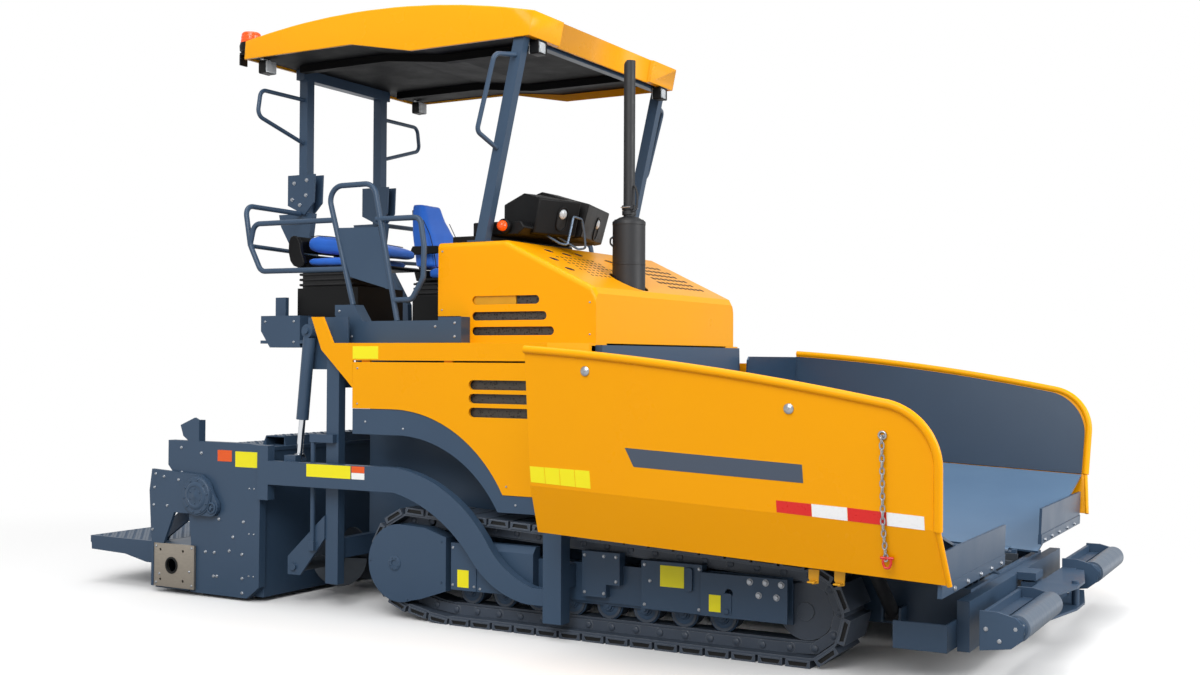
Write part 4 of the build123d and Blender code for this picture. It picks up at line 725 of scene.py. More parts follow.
# %% The films
PLATES = {
    # name: (node, x0, x1, z0, z1, vinyl, body)
    "plate_ledge": ("ledges", -856, -664, 1506, 1581, YELLOW_VINYL, "root"),
    "plate_screed_red": ("screed_frame", -1888, -1768, 860, 930, ORANGE_VINYL, "screed"),
    "plate_screed": ("screed_frame", -1738, -1556, 830, 926, YELLOW_VINYL, "screed"),
    "plate_arm": ("tow_arm_right", -1136, -798, 800, 876, YELLOW_VINYL, "screed"),
    "plate_arm_red": ("tow_arm_right", -790, -694, 838, 876, ORANGE_VINYL, "screed"),
    "plate_arm_white": ("tow_arm_right", -790, -694, 800, 837, WHITE_VINYL, "screed"),
    "plate_frame_1": ("track_frames", -80, -3, 220, 318, YELLOW_VINYL, "root"),
    "plate_frame_2": ("track_frames", 1192, 1330, 330, 440, YELLOW_VINYL, "root"),
    "plate_frame_3": ("track_frames", 1480, 1545, 230, 316, YELLOW_VINYL, "root"),
}
for name, (node, x0, x1, z0, z1, vinyl, body) in PLATES.items():
    film(name, node, ((x0, z0), (x1, z0), (x1, z1), (x0, z1)), vinyl, body=body, grid=(6, 3))
print("films:", len(PLATES), "a side")

# %% Wing films
TAPE_ENDS = (2051, 2222, 2391, 2569, 2738)
TAPE_TOP = (870, 863, 856, 846, 837)
TAPE_FOOT, TAPE_DROP = 815, 38                     # height of its lower edge, and what that falls to the nose
WORDS_FROM, FOOT_FALL, HEAD_FALL = 708, 0.0464, 0.0246     # where the four plates' edges start to fall, and how fast
for k in range(4):
    x0, x1 = TAPE_ENDS[k], TAPE_ENDS[k + 1]
    low = [TAPE_FOOT - TAPE_DROP * (x - TAPE_ENDS[0]) / (TAPE_ENDS[4] - TAPE_ENDS[0]) for x in (x0, x1)]
    corners = ((x0, low[0]), (x1 - 2, low[1]), (x1 - 2, TAPE_TOP[k + 1]), (x0, TAPE_TOP[k]))
    film(f"tape_{k + 1}", "wing_skin_right", corners, (RED_TAPE, WHITE_TAPE)[k % 2], "wing_{side}",
         (6, 2))
for k in range(4):
    x0, x1 = 724 + 87.5 * k, 809 + 87.5 * k
    corners = [(x, 889 - FOOT_FALL * (x - WORDS_FROM)) for x in (x0, x1)]
    corners += [(x, 970 - HEAD_FALL * (x - WORDS_FROM)) for x in (x1, x0)]
    film(f"plate_wing_{k + 1}", "wing_skin_right", corners, YELLOW_VINYL, "wing_{side}", (3, 2))
film("wing_stripe", "wing_skin_right", ((1321, 992), (2188, 956), (2187, 1040), (1280, 1083)), SLATE_FILM,
     "wing_{side}", (24, 4))
print("tape segments:", len(TAPE_ENDS) - 1)

# %% [markdown]
# ## Wing hardware
# Two round-headed rivets hold the inner lining through the wing's wall. A safety chain
# hangs from a ring near the nose to a red shackle: on the real machine it pins the folded
# wing. Each link is a bent bar closed on itself, turned a quarter from its neighbour.

# %% Rivets, chain and shackle
def wing_rivets(bm):
    for x, z in ((1089, 1452), (2138, 1292)):
        face = side_of("wing_skin_right", x, z)
        turned(bm, [(0, face + 3), (24, face + 3), (24, face - 4), (21, face - 6), (13, face - 11), (0, face - 13)],
               x, z, sides=28)
        turned(bm, [(0, face - 12), (6, face - 12), (6, face - 15), (0, face - 15)], x, z, sides=6)


CHAIN = [(2569 - k, 1168 - 528 * k / 19) for k in range(20)]          # centres of its links
WALL_FOOT = -1650                                                    # where the wall would be, below its sheet


def chain_links(bm):
    """Oval links down the wall, every other one turned a quarter."""
    for k, (x, z) in enumerate(CHAIN):
        y = (side_of("wing_skin_right", x, z) or WALL_FOOT) - (18 if z > 780 else 16)
        ring = []
        for t in turn_of(14):
            wide, tall = 9.5 * math.cos(t), 17.5 * math.sin(t)
            ring.append((x + wide, y, z + tall) if k % 2 else (x, y + wide, z + tall))
        tube(bm, ring, 3.6, sides=6, closed=True)


def chain_eye(bm):
    """Welded ring at the chain's head."""
    x, z = 2569, 1186
    y = side_of("wing_skin_right", x, z)
    tube(bm, [(x + 16 * math.cos(t), y - 7, z + 16 * math.sin(t)) for t in turn_of(16)], 5, sides=8, closed=True)
    prism(bm, rounded(x - 12, x + 12, z - 14, z + 2, 4), y - 7, y + 2)


def shackle(bm):
    """Bow and pin of a small shackle at the chain's foot."""
    x, z = 2556, 616
    y = (side_of("wing_skin_right", x, 640) or WALL_FOOT) - 16
    tube(bm, [(x - 16, y, z + 22), (x - 19, y, z), (x - 10, y, z - 22), (x + 10, y, z - 22), (x + 19, y, z),
              (x + 16, y, z + 22)], 6, 8, 8)
    tube(bm, [(x - 30, y, z + 22), (x + 30, y, z + 22)], 7, sides=8)


both_sides("wing_rivets", wing_rivets, ZINC, "wing_{side}")
both_sides("wing_chain", chain_links, ZINC, "wing_{side}")
both_sides("wing_chain_eye", chain_eye, ZINC, "wing_{side}")
both_sides("wing_shackle", shackle, RED_ENAMEL, "wing_{side}")
print("chain links:", len(CHAIN), "a side")

# %% [markdown]
# ## Screed fasteners
# The screed's side is a plate screwed to the frame inside it, so it is dotted with
# hexagon heads. The guide tube ends in a flange with a bolt circle and a turned cover.
# The sliding part's bright end plate has six screws and a bushed port.

# %% Bolts of the side plate
def heads_on(bm, node, places, size, run="y", start=-FAR_OUT, way=1):
    """Hexagon heads where a line along the run meets the node's sheet; none where it misses."""
    for a, b in places:
        face = beyond(node, run, a, b, start, way)
        if face is not None:
            bolt(bm, a, b, face, -way, size, run)


SIDE_BOLTS = [(-1872, 497), (-1665, 492), (-1752, 393), (-1782, 304), (-1675, 290), (-1673, 142), (-1672, 52),
              (-1909, 286), (-1986, 285), (-1914, 137), (-1887, 139), (-2029, 905), (-2199, 775), (-2204, 934)]


def side_bolts(bm):
    heads_on(bm, "screed_frame", SIDE_BOLTS, 9)
    heads_on(bm, "screed_frame", [(x, z) for x in (-1620, -1580) for z in (700, 420, 160)], 5)


def carrier_bolts(bm):
    heads_on(bm, "extension_carrier_right", [(-2405, 760), (-2415, 672), (-2330, 745), (-2200, 730), (-2430, 400),
                                             (-2420, 560), (-2300, 560)], 8)


GUIDE_TUBE = (-2031, 638)


def tube_flange(bm):
    """Turned cover and bolt circle at the guide tube's end."""
    face = -at("extension_carrier_left", "y1")
    turned(bm, [(0, face + 4), (118, face + 4), (118, face - 1), (113, face - 7), (88, face - 8), (82, face - 13),
                (70, face - 15), (64, face - 15), (60, face - 12), (20, face - 12), (14, face - 15), (0, face - 15)],
           *GUIDE_TUBE, sides=48)
    bolt_circle(bm, *GUIDE_TUBE, 100, 10, 9, face - 7.5, 6.5)
    bolt_circle(bm, *GUIDE_TUBE, 46, 6, 30, face - 12, 5)
    bolt(bm, -1905, 567, -(at("screed_frame", "y1") + 33), -1, 15)
    turned(bm, [(26, -1322), (38, -1322), (38, -1334), (34, -1336), (26, -1336), (26, -1322)], -1905, 567, sides=28)


def end_plate_bolts(bm):
    heads_on(bm, "extension_end_right", [(-2400, 296), (-2085, 300), (-2400, 62), (-2085, 62), (-2370, 120),
                                         (-2105, 150)], 7)


def end_port(bm):
    """Stepped bush round the end plate's port, near-black: painted shade in the port."""
    face = -at("extension_end_left", "y1")
    turned(bm, [(41.5, face + 14), (54, face + 14), (54, face - 3), (51, face - 5), (43, face - 5), (41.5, face - 3),
                (41.5, face + 14)], -2262, 180, sides=40)


both_sides("screed_side_bolts", side_bolts, ZINC, "screed")
both_sides("screed_carrier_bolts", carrier_bolts, ZINC, "extension_{side}")
both_sides("guide_tube_flange", tube_flange, SLATE_ENAMEL, "extension_{side}")
both_sides("end_plate_bolts", end_plate_bolts, ZINC, "extension_{side}")
both_sides("end_port_bush", end_port, PAINTED_SHADE_BLACK, "extension_{side}")
print("side plate bolts:", len(SIDE_BOLTS), "a side")

# %% [markdown]
# ## Tread plate
# Chequered plate is rolled with rows of short raised bars, turned by a quarter from one
# to the next. A bar is about 25 mm long and 3 mm high. Each is a ridged wedge of six
# faces, so thousands stay cheap, and real relief catches the light better than a bump.

# %% Raised bars
def tread(bm, x0, x1, y0, y1, z, pitch=36, long=12, wide=4.2, high=3.2):
    """Rows of raised bars on a level sheet."""
    columns, rows = int((x1 - x0) / pitch), int((y1 - y0) / pitch)
    for i in range(columns):
        for j in range(rows):
            x, y = x0 + (i + 0.5) * (x1 - x0) / columns, y0 + (j + 0.5) * (y1 - y0) / rows
            turn = math.radians(45 if (i + j) % 2 else -45)
            along, across = Vector((math.cos(turn), math.sin(turn))), Vector((-math.sin(turn), math.cos(turn)))

            def corner(a, b, h):
                p = Vector((x, y)) + along * a + across * b
                return bm.verts.new((p.x, p.y, z + h))

            foot = [corner(long, 0, -0.5), corner(0, wide, -0.5), corner(-long, 0, -0.5), corner(0, -wide, -0.5)]
            top = [corner(long * 0.55, 0, high), corner(-long * 0.55, 0, high)]
            bm.faces.new((foot[0], foot[1], top[0]))
            bm.faces.new((foot[1], foot[2], top[1]))
            bm.faces.new((foot[2], foot[3], top[1]))
            bm.faces.new((foot[3], foot[0], top[0]))
            bm.faces.new((foot[1], top[1], top[0]))
            bm.faces.new((foot[3], top[0], top[1]))


bm = bmesh.new()
tread(bm, -2050, -1785, -1225, 1225, 954)
tread(bm, -1748, -1604, -1000, 1000, 1012)
make("screed_top_tread", bm, SLATE_ENAMEL, "screed")
bm = bmesh.new()
tread(bm, -3080, -2480, -1235, 1235, 310)
make("rear_step_tread", bm, SLATE_ENAMEL, "screed")
bm = bmesh.new()
tread(bm, -1120, -470, -790, 790, 1620, pitch=44)
make("deck_tread", bm, SLATE_ENAMEL)

# %% [markdown]
# ## Hood
# The hood's slope is pierced for the engine's air: a field of pressed ovals on the left,
# small hexagons round the exhaust on the right, and six larger openings with pressed
# lips. Behind the side slots lies expanded metal. The piercings are thin near-black insets
# laid on the slope, painted shade for the dark behind them, and the mesh is one sheet whose
# cells come from a Voronoi pattern, the gaps between its strands painted near-black as shade.

# %% Piercings in the slope
SLOPE_AT, SLOPE_FALL = (28, 2203), 0.4814
run_way = Vector((1, 0, -SLOPE_FALL)).normalized()
out_way = Vector((SLOPE_FALL, 0, 1)).normalized()
SLOPE = Matrix((run_way, Vector((0, 1, 0)), out_way)).transposed().to_4x4()
SLOPE.translation = Vector((SLOPE_AT[0], 0, SLOPE_AT[1]))
STRETCH = math.hypot(1, SLOPE_FALL)
OPENINGS = ((145, -440), (120, -260), (385, -806), (250, -760), (170, 47), (120, -610))
EXHAUST_AT, EXHAUST_CLEAR = (490, -280), 150


def down_slope(x):
    """Distance down the slope for a station."""
    return (x - SLOPE_AT[0]) * STRETCH


def pointed_oval(x, y, wide, tall):
    """Outline of a large opening, narrower than an ellipse."""
    return [(down_slope(x) + wide * math.cos(t) * abs(math.cos(t)) ** 0.3, y + tall * math.sin(t)) for t in turn_of(20)]


def slope_holes(bm):
    """Rows of pressed ovals and of hexagons, and the openings: near-black painted shade, a hair above the sheet."""
    for i in range(6):
        for j in range(8):
            u = down_slope(190 + 62 * i)
            y = 235 + 66 * j + (33 if i % 2 else 0)
            prism(bm, rounded(u - 18, u + 18, y - 24, y + 24, 17), -1.0, 0.5, "z")
    for i in range(7):
        for j in range(9):
            x, y = 200 + 40 * i, -640 + 52 * j + (26 if i % 2 else 0)
            if math.hypot(x - EXHAUST_AT[0], y - EXHAUST_AT[1]) > EXHAUST_CLEAR:
                u = down_slope(x)
                prism(bm, [(u + 12 * math.cos(t), y + 12 * math.sin(t)) for t in turn_of(6)], -1.0, 0.5, "z")
    for x, y in OPENINGS:
        prism(bm, pointed_oval(x, y, 26, 46), -1.0, 0.5, "z")


def slope_rims(bm):
    """Pressed lip round each of the larger openings."""
    for x, y in OPENINGS:
        tube(bm, [(u, v, 0.5) for u, v in pointed_oval(x, y, 28, 49)], 2.2, sides=6, closed=True)


bm = bmesh.new()
slope_holes(bm)
make("hood_piercing_shade", bm, PAINTED_SHADE_BLACK, place=SLOPE)
bm = bmesh.new()
slope_rims(bm)
make("hood_pressed_lips", bm, YELLOW_ENAMEL, place=SLOPE)
print("slope placed at", [round(v) for v in SLOPE.translation])

# %% Expanded metal behind the slots
CELL_MM = 14


def expanded_metal():
    material, tree = blank("expanded_metal")
    coords = add(tree, "ShaderNodeTexCoord", {})
    squash = add(tree, "ShaderNodeMapping", {"Vector": coords.outputs["Object"], "Scale": (1.0, 0.05, 1.6)})
    cells = add(tree, "ShaderNodeTexVoronoi", {"Vector": squash.outputs[0], "feature": "DISTANCE_TO_EDGE",
                                               "Scale": 1000 / CELL_MM, "Randomness": 0.25})
    strand = add(tree, "ShaderNodeMapRange", {"Value": cells.outputs["Distance"], "From Min": 0.09,
                                              "From Max": 0.15, "To Min": 1.0, "To Max": 0.0})
    # The gaps between strands are near-black: painted shade of the dark space behind the mesh; the strands keep the
    # metal's grey.
    colour = add(tree, "ShaderNodeMix", {"data_type": "RGBA", "Factor": strand.outputs[0],
                                         "A": srgb("#070809"), "B": srgb("#46433E")})
    bump = add(tree, "ShaderNodeBump", {"Strength": 0.6, "Distance": 0.002, "Height": strand.outputs[0]})
    shader = add(tree, "ShaderNodeBsdfPrincipled", {"Base Color": colour.outputs["Result"], "Roughness": 0.45,
                                                    "Metallic": 0.3, "Normal": bump.outputs[0]})
    add(tree, "ShaderNodeOutputMaterial", {"Surface": shader.outputs[0]})
    return material


EXPANDED_METAL = expanded_metal()


def hood_mesh(bm):
    prism(bm, rounded(-235, 420, 1640, 1800, 6), -(at("hood", "y1") - 22), -(at("hood", "y1") - 25))
    prism(bm, rounded(100, 300, 1815, 1890, 6), -(at("hood", "y1") - 22), -(at("hood", "y1") - 25))


def panel_mesh(bm):
    prism(bm, rounded(-40, 640, 1160, 1410, 6), -(at("side_panels", "y1") - 30), -(at("side_panels", "y1") - 33))


def hood_tank(bm):
    """Round-ended end of the tank that fills the upper slot's rear half."""
    prism(bm, rounded(-230, 98, 1800, 1905, 20), -(at("hood", "y1") - 12), -(at("hood", "y1") - 60))


both_sides("hood_expanded_metal", hood_mesh, EXPANDED_METAL)
both_sides("panel_expanded_metal", panel_mesh, EXPANDED_METAL)
both_sides("tank_end", hood_tank, OCHRE_ENAMEL, bevel=6)
print("mesh cell:", CELL_MM, "mm")

# %% [markdown]
# ## Seats
# Each seat is moulded foam under coated cloth: a pad and a back with crowned faces, held in
# a black shell, on a rubber bellows that hides the sprung base. The foam is blown up as a
# closed skin: a rough loft is remeshed evenly, put under pressure as cloth, and held to a
# few millimetres of swelling. The right seat's back is folded down over its pad.

# %% Foam under pressure
SWELL_FRAMES, SWELL_CAP = 18, 9          # cloth frames, and the most that a point may move, in millimetres


def loft(bm, rings):
    """Skin closed rings of points, one after another, and cap both ends."""
    loops = [[bm.verts.new(point) for point in ring] for ring in rings]
    for one, two in zip(loops, loops[1:]):
        for k in range(len(one)):
            j = (k + 1) % len(one)
            bm.faces.new((one[k], one[j], two[j], two[k]))
    bm.faces.new(loops[0])
    bm.faces.new(loops[-1])


def apply_modifiers(obj):
    """Make a piece's modifiers final."""
    for modifier in list(obj.modifiers):
        with bpy.context.temp_override(object=obj, active_object=obj, selected_objects=[obj]):
            bpy.ops.object.modifier_apply(modifier=modifier.name)


def cushion(name, rings):
    """A padded piece: remeshed loft, swollen by cloth pressure up to a cap, then smoothed."""
    bm = bmesh.new()
    loft(bm, rings)
    obj = make(name, bm, SEAT_CLOTH, smooth=80)
    grid = obj.modifiers.new("even_grid", "REMESH")
    grid.mode, grid.voxel_size = "VOXEL", (0.010)
    apply_modifiers(obj)
    rest = [v.co.copy() for v in obj.data.vertices]
    cloth = obj.modifiers.new("swelling", "CLOTH")
    cloth.settings.use_pressure = True
    cloth.settings.uniform_pressure_force = 4.0
    cloth.settings.effector_weights.gravity = 0.0
    cloth.settings.quality = 4
    for step in range(1, SWELL_FRAMES + 1):
        bpy.context.scene.frame_set(step)
    shape = obj.evaluated_get(bpy.context.evaluated_depsgraph_get()).to_mesh()
    swollen = [v.co.copy() for v in shape.vertices]
    obj.modifiers.remove(cloth)
    bpy.context.scene.frame_set(1)
    for v, start, end in zip(obj.data.vertices, rest, swollen):
        move = end - start
        if move.length > SWELL_CAP * MM:
            move = move.normalized() * SWELL_CAP * MM
        v.co = start + move
    relax = obj.modifiers.new("relaxed_skin", "SMOOTH")
    relax.factor, relax.iterations = 0.5, 6
    apply_modifiers(obj)
    obj.data.shade_smooth()
    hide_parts("seats")
    return obj


def level_ring(x0, x1, y0, y1, z, r):
    """Rounded rectangle in plan at a height."""
    return [(x, y, z) for x, y in rounded(x0, x1, y0, y1, r, 3)]


def cross_ring(x, y0, y1, z0, z1, r=26):
    """Rounded rectangle across the machine at a station."""
    return [(x, y, z) for y, z in rounded(y0, y1, z0, z1, r, 3)]


print("swelling:", SWELL_FRAMES, "frames, at most", SWELL_CAP, "mm")

# %% Four cushions
CUSHIONS = {
    # name: (kind of ring, the rings' numbers)
    "seat_back_left": (level_ring, [(-1668, -1500, 428, 792, 2172, 30), (-1690, -1520, 424, 796, 2290, 30),
                                    (-1712, -1562, 428, 792, 2420, 30), (-1732, -1620, 452, 768, 2535, 30),
                                    (-1748, -1658, 484, 736, 2650, 28)]),
    "seat_pad_left": (cross_ring, [(-1545, 425, 795, 2098, 2162), (-1400, 416, 804, 2094, 2156),
                                   (-1250, 416, 804, 2098, 2166), (-1175, 430, 790, 2100, 2160)]),
    "seat_pad_right": (cross_ring, [(-1600, -795, -425, 2112, 2158), (-1400, -804, -416, 2104, 2160),
                                    (-1200, -800, -420, 2100, 2150), (-1080, -780, -440, 2098, 2136)]),
    "seat_back_right": (cross_ring, [(-1628, -780, -440, 2216, 2290), (-1560, -788, -432, 2204, 2298),
                                     (-1420, -788, -432, 2190, 2284), (-1250, -786, -434, 2176, 2254),
                                     (-1100, -780, -440, 2166, 2228), (-975, -760, -460, 2150, 2196)]),
}
for name, (ring, rows) in CUSHIONS.items():
    cushion(name, [ring(*row) for row in rows])

# %% Shells, arm rests and seams
def stitched_line(bm, points):
    """Piping along a seam, 6 mm thick."""
    tube(bm, points, 3.0, 12, 6)


bm = bmesh.new()
loft(bm, [level_ring(*row) for row in (
    (-1690, -1664, 500, 720, 2165, 12), (-1712, -1686, 500, 720, 2290, 12), (-1736, -1708, 504, 716, 2420, 11),
    (-1756, -1730, 510, 710, 2530, 9), (-1770, -1750, 520, 700, 2610, 8))])
prism(bm, [(-1636, 2073), (-1165, 2073), (-1160, 2086), (-1185, 2096), (-1560, 2094), (-1640, 2160), (-1660, 2150)],
      404, 816)
for lo, hi in ((372, 400), (820, 848)):
    prism(bm, [(-1668, 2290), (-1640, 2262), (-1420, 2268), (-1390, 2286), (-1395, 2312), (-1430, 2322), (-1650, 2326)],
          lo, hi)
make("seat_shell_left", bm, BLACK_MOULDING, bevel=5)
bm = bmesh.new()
prism(bm, [(-1632, 2073), (-990, 2073), (-975, 2088), (-1010, 2098), (-1580, 2100), (-1640, 2130), (-1650, 2180),
           (-1690, 2192), (-1712, 2150), (-1690, 2104)], -812, -408)
for lo, hi in ((-846, -816), (-404, -374)):
    prism(bm, [(-1650, 2098), (-1600, 2104), (-1592, 2130), (-1622, 2200), (-1630, 2250), (-1652, 2292), (-1684, 2306),
               (-1712, 2296), (-1726, 2262), (-1728, 2200), (-1712, 2140), (-1684, 2108)], lo, hi)
prism(bm, [(-1684, 2196), (-1652, 2202), (-1644, 2270), (-1664, 2300), (-1700, 2298), (-1716, 2262), (-1714, 2214)],
      -812, -408)
make("seat_shell_right", bm, BLACK_MOULDING, bevel=5)
bm = bmesh.new()
for y in (448, 772):
    stitched_line(bm, [(-1490, y, 2180), (-1510, y, 2290), (-1552, y, 2420), (-1608, y, 2520)])
stitched_line(bm, [(-1205, 440, 2172), (-1205, 780, 2172)])
for y in (-772, -448):
    stitched_line(bm, [(-1600, y, 2300), (-1540, y, 2304), (-1420, y, 2292), (-1250, y, 2262), (-1100, y, 2236)])
make("seat_piping", bm, BLACK_MOULDING)

# %% Bellows under the seats
FOLDS = 6


def bellows(bm):
    """Folded rubber skirt round the sprung base."""
    for k in range(FOLDS):
        z = 1876 + 34 * k
        prism(bm, rounded(-1690, -1232, -798, -422, 30), z, z + 15, "z")
    prism(bm, rounded(-1672, -1246, -784, -436, 26), 1866, 2068, "z")


both_sides("seat_bellows", bellows, DARK_RUBBER, bevel=4)
print("folds:", FOLDS)

# %% [markdown]
# ## Console and lamps
# The console's two hoods each carry a recessed lamp with a round-ended bezel. A bent rod
# guards the middle, and an amber dome on a rubber foot closes the near end. Under the
# canopy each square work lamp has a raised bezel round a fluted lens.

# %% Console lamps, guard rod and dome
HOODS = {"right": (30, -572.5, -16), "left": (26, -77.5, 16)}      # x, y in millimetres, turn in degrees
HOOD_FOOT, HOOD_TOP = (75, 2262), (130, 2467)                      # x, z of the face that carries the lamps


def hood_place(side):
    """Where a hood stands on the console."""
    x, y, turn = HOODS[side]
    return Matrix.Translation((x, y, 0)) @ Matrix.Rotation(math.radians(turn), 4, "Z")


RISE_X, RISE_Z = HOOD_TOP[0] - HOOD_FOOT[0], HOOD_TOP[1] - HOOD_FOOT[1]
FACE_UP = Vector((RISE_X, 0, RISE_Z)).normalized()
FACE_OUT = Vector((FACE_UP.z, 0, -FACE_UP.x))
for side, across, z in (("right", 92, 2358), ("left", 36, 2342)):
    lean = Matrix((Vector((0, 1, 0)), FACE_UP, FACE_OUT)).transposed().to_4x4()
    lean.translation = Vector((HOOD_FOOT[0] + RISE_X * (z - HOOD_FOOT[1]) / RISE_Z, across, z))
    bm = bmesh.new()
    frame_of(bm, rounded(-45, 45, -76, 76, 44, 6), rounded(-36, 36, -67, 67, 35, 6), -2, 7, "z")
    make(f"console_bezel_{side}", bm, BLACK_MOULDING, bevel=1.5, place=hood_place(side) @ lean)
    bm = bmesh.new()
    # Inside each bezel a near-black plate: painted shade in the lamp's recess.
    prism(bm, rounded(-37, 37, -68, 68, 36, 6), -2, 1.2, "z")
    make(f"console_recess_shade_{side}", bm, PAINTED_SHADE_BLACK, place=hood_place(side) @ lean)
    bm = bmesh.new()
    turned(bm, [(0, 1), (29, 1), (29, 5), (24, 10), (12, 14), (0, 15)], 0, 30, "z", 28)
    make(f"console_lens_{side}", bm, LAMP_LENS, place=hood_place(side) @ lean)
bm = bmesh.new()
tube(bm, [(66, -560, 2262), (170, -560, 2205), (215, -552, 2196), (215, -520, 2270), (215, -480, 2374),
          (215, -380, 2366), (215, -345, 2270), (215, -332, 2192), (170, -345, 2186), (66, -420, 2262)], 7, 16, 10)
make("console_guard_rod", bm, TURNED_STEEL)
SIDE_LAMP = (-62, 2300)
bm = bmesh.new()
turned(bm, [(0, -799), (43, -799), (45, -806), (43, -828), (37, -834), (0, -834)], *SIDE_LAMP, sides=32)
make("side_lamp_foot", bm, BLACK_MOULDING, bevel=1.5)
bm = bmesh.new()
turned(bm, [(0, -832), (32, -832), (32, -842), (29, -855), (22, -864), (12, -870), (0, -872)], *SIDE_LAMP, sides=32)
make("side_lamp_dome", bm, AMBER_LENS)
print("console lamps placed")

# %% Work lamp bezels and beacon
WORK_LAMPS = ((177, -790, 3343, 1), (-1966, -828, 3429, -1))       # x, y, z, and the way it looks along x


def lamp_box(y, z, wide, tall, r):
    return rounded(y - wide, y + wide, z - tall, z + tall, r)


def lamp_bezels(bm):
    """A raised bezel on each lamp's face and a thin skin round its body."""
    for x, y, z, way in WORK_LAMPS:
        lo, hi = sorted((x - way * 10, x + way * 5))
        frame_of(bm, lamp_box(y, z, 50, 42, 10), lamp_box(y, z, 40, 32, 8), lo, hi, "x")
        lo, hi = sorted((x - way * 56, x - way * 10))
        frame_of(bm, lamp_box(y, z, 49, 41, 10), lamp_box(y, z, 47, 39, 9), lo, hi, "x")


def lamp_reflectors(bm):
    """The round lens in each bezel."""
    for x, y, z, way in WORK_LAMPS:
        profile = [(0, 1), (31, 1), (31, 3), (20, 5), (0, 5.5)]
        turned(bm, [(radius, x + way * along) for radius, along in profile], y, z, "x", 28)


both_sides("work_lamp_bezels", lamp_bezels, BLACK_MOULDING, bevel=1.5)
both_sides("work_lamp_lenses", lamp_reflectors, LAMP_LENS)
BEACON = (-2065, -850)
bm = bmesh.new()
turned(bm, [(0, 3539), (62, 3539), (74, 3547), (76, 3579), (70, 3601), (0, 3601)], *BEACON, "z", 40)
prism(bm, rounded(-2140, -2030, BEACON[1] - 34, BEACON[1] + 34, 8), 3523, 3541, "z")
prism(bm, rounded(-2140, -2126, BEACON[1] - 34, BEACON[1] + 34, 5), 3457, 3527, "z")
foot = make("beacon_foot", bm, BLACK_MOULDING, bevel=2)
bm = bmesh.new()
turned(bm, [(0, 3600), (70, 3600), (70, 3605), (66.5, 3608), (67.5, 3620), (65, 3623), (65.5, 3642), (63, 3645),
            (62, 3661), (54, 3670), (30, 3675), (0, 3676)], *BEACON, "z", 40)
dome = make("beacon_dome", bm, AMBER_LENS)
for piece in (foot, dome):
    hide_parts("beacon")
print("lamps dressed")

# %% [markdown]
# ## Exhaust
# A muffler is a rolled can with a dished end; a U-bolt clamp closes the stack's slip
# joint, and a hooked latch stands on the can's side.

# %% Muffler end, clamp and latch
mx, my, mz = *EXHAUST_AT, 2358                   # the muffler's axis, and the height of its end
bm = bmesh.new()
turned(bm, [(99.6, mz - 34), (101.6, mz - 32), (101.6, mz - 14), (98, mz - 8), (60, mz + 14), (40, mz + 20),
            (36.5, mz + 20), (36.5, mz - 6), (99.6, mz - 34)], mx, my, "z", 48)
turned(bm, [(36, mz + 60), (44, mz + 60), (44, mz + 88), (36, mz + 88), (36, mz + 60)], mx, my, "z", 36)
turned(bm, [(99.8, 2080), (101.4, 2082), (101.4, 2090), (99.8, 2092), (99.8, 2080)], mx, my, "z", 48)
make("muffler_end", bm, HEATPROOF_BLACK, bevel=0.8)
bm = bmesh.new()
tube(bm, [(mx + 40, my - 30, mz + 48), (mx + 62, my - 18, mz + 62), (mx + 66, my - 14, mz + 150),
          (mx + 46, my - 10, mz + 205), (mx + 32, my - 8, mz + 200)], 7, 24, 10)
tube(bm, [(mx - 70, my - 74, 2196), (mx - 82, my - 86, 2210), (mx - 82, my - 86, 2240), (mx - 68, my - 72, 2254)],
     6, 10, 8)
make("muffler_latch", bm, HEATPROOF_BLACK)
bm = bmesh.new()
for y in (my - 50, my + 50):
    tube(bm, [(mx - 30, y, mz + 74), (mx + 34, y, mz + 74)], 4, sides=8)
make("stack_clamp_bolts", bm, ZINC)
print("exhaust dressed")

# %% [markdown]
# ## Front beam
# The push rollers are turned tubes on dead shafts: each end shows a bearing cap, its ring
# of screws and the shaft's nut. Screws also hold the aprons' wear strips, the beam's
# plates, the posts' hinge plates, the track frames' covers and the body's panels.

# %% Roller ends and front screws
PUSH_ROLLER = (3031, 310)
ROLLER_END, ROLLER_INSIDE = -at("push_roller_left", "y1"), -at("push_roller_left", "y0")


def roller_ends(bm):
    for face, way in ((ROLLER_END, -1), (ROLLER_INSIDE, 1)):
        turned(bm, [(0, face - way), (50, face - way), (50, face + way * 5), (44, face + way * 8), (30, face + way * 8),
                    (28, face + way * 14), (18, face + way * 15), (0, face + way * 15)], *PUSH_ROLLER, sides=32)


def roller_nuts(bm):
    bolt(bm, *PUSH_ROLLER, ROLLER_END - 15, -1, 12)
    bolt_circle(bm, *PUSH_ROLLER, 37, 6, 30, ROLLER_END - 8, 4)


def apron_bolts(bm):
    for z, size, row in ((485, 11, (-1422, -1192, -946, -738, -536)), (385, 8, (-1300, -1060, -820, -620))):
        heads_on(bm, "wing_apron_right", [(y, z) for y in row], size, "x", FAR_OUT, -1)


def beam_bolts(bm):
    front = [(y, z) for y in (-1180, -1040, -420, -300) for z in (230, 300)]
    heads_on(bm, "push_beam", front, 10, "x", FAR_OUT, -1)
    heads_on(bm, "push_beam", [(2960, 250), (2900, 300), (2930, 200)], 9)


def hinge_plate_bolts(bm):
    heads_on(bm, "canopy_frame", [(-2042, 2712), (-1930, 2728), (-1936, 2625), (-2060, 2600), (-1990, 2560)], 12)


def track_frame_bolts(bm):
    heads_on(bm, "track_frames", [(738, 460), (856, 460), (738, 262), (856, 262), (1100, 436), (1416, 436), (1100, 228),
                                  (1416, 228), (1132, 354), (930, 460), (930, 330)], 8)
    heads_on(bm, "track_frames", [(-112, 440), (-112, 230), (34, 440), (34, 230), (70, 220), (400, 220)], 7)


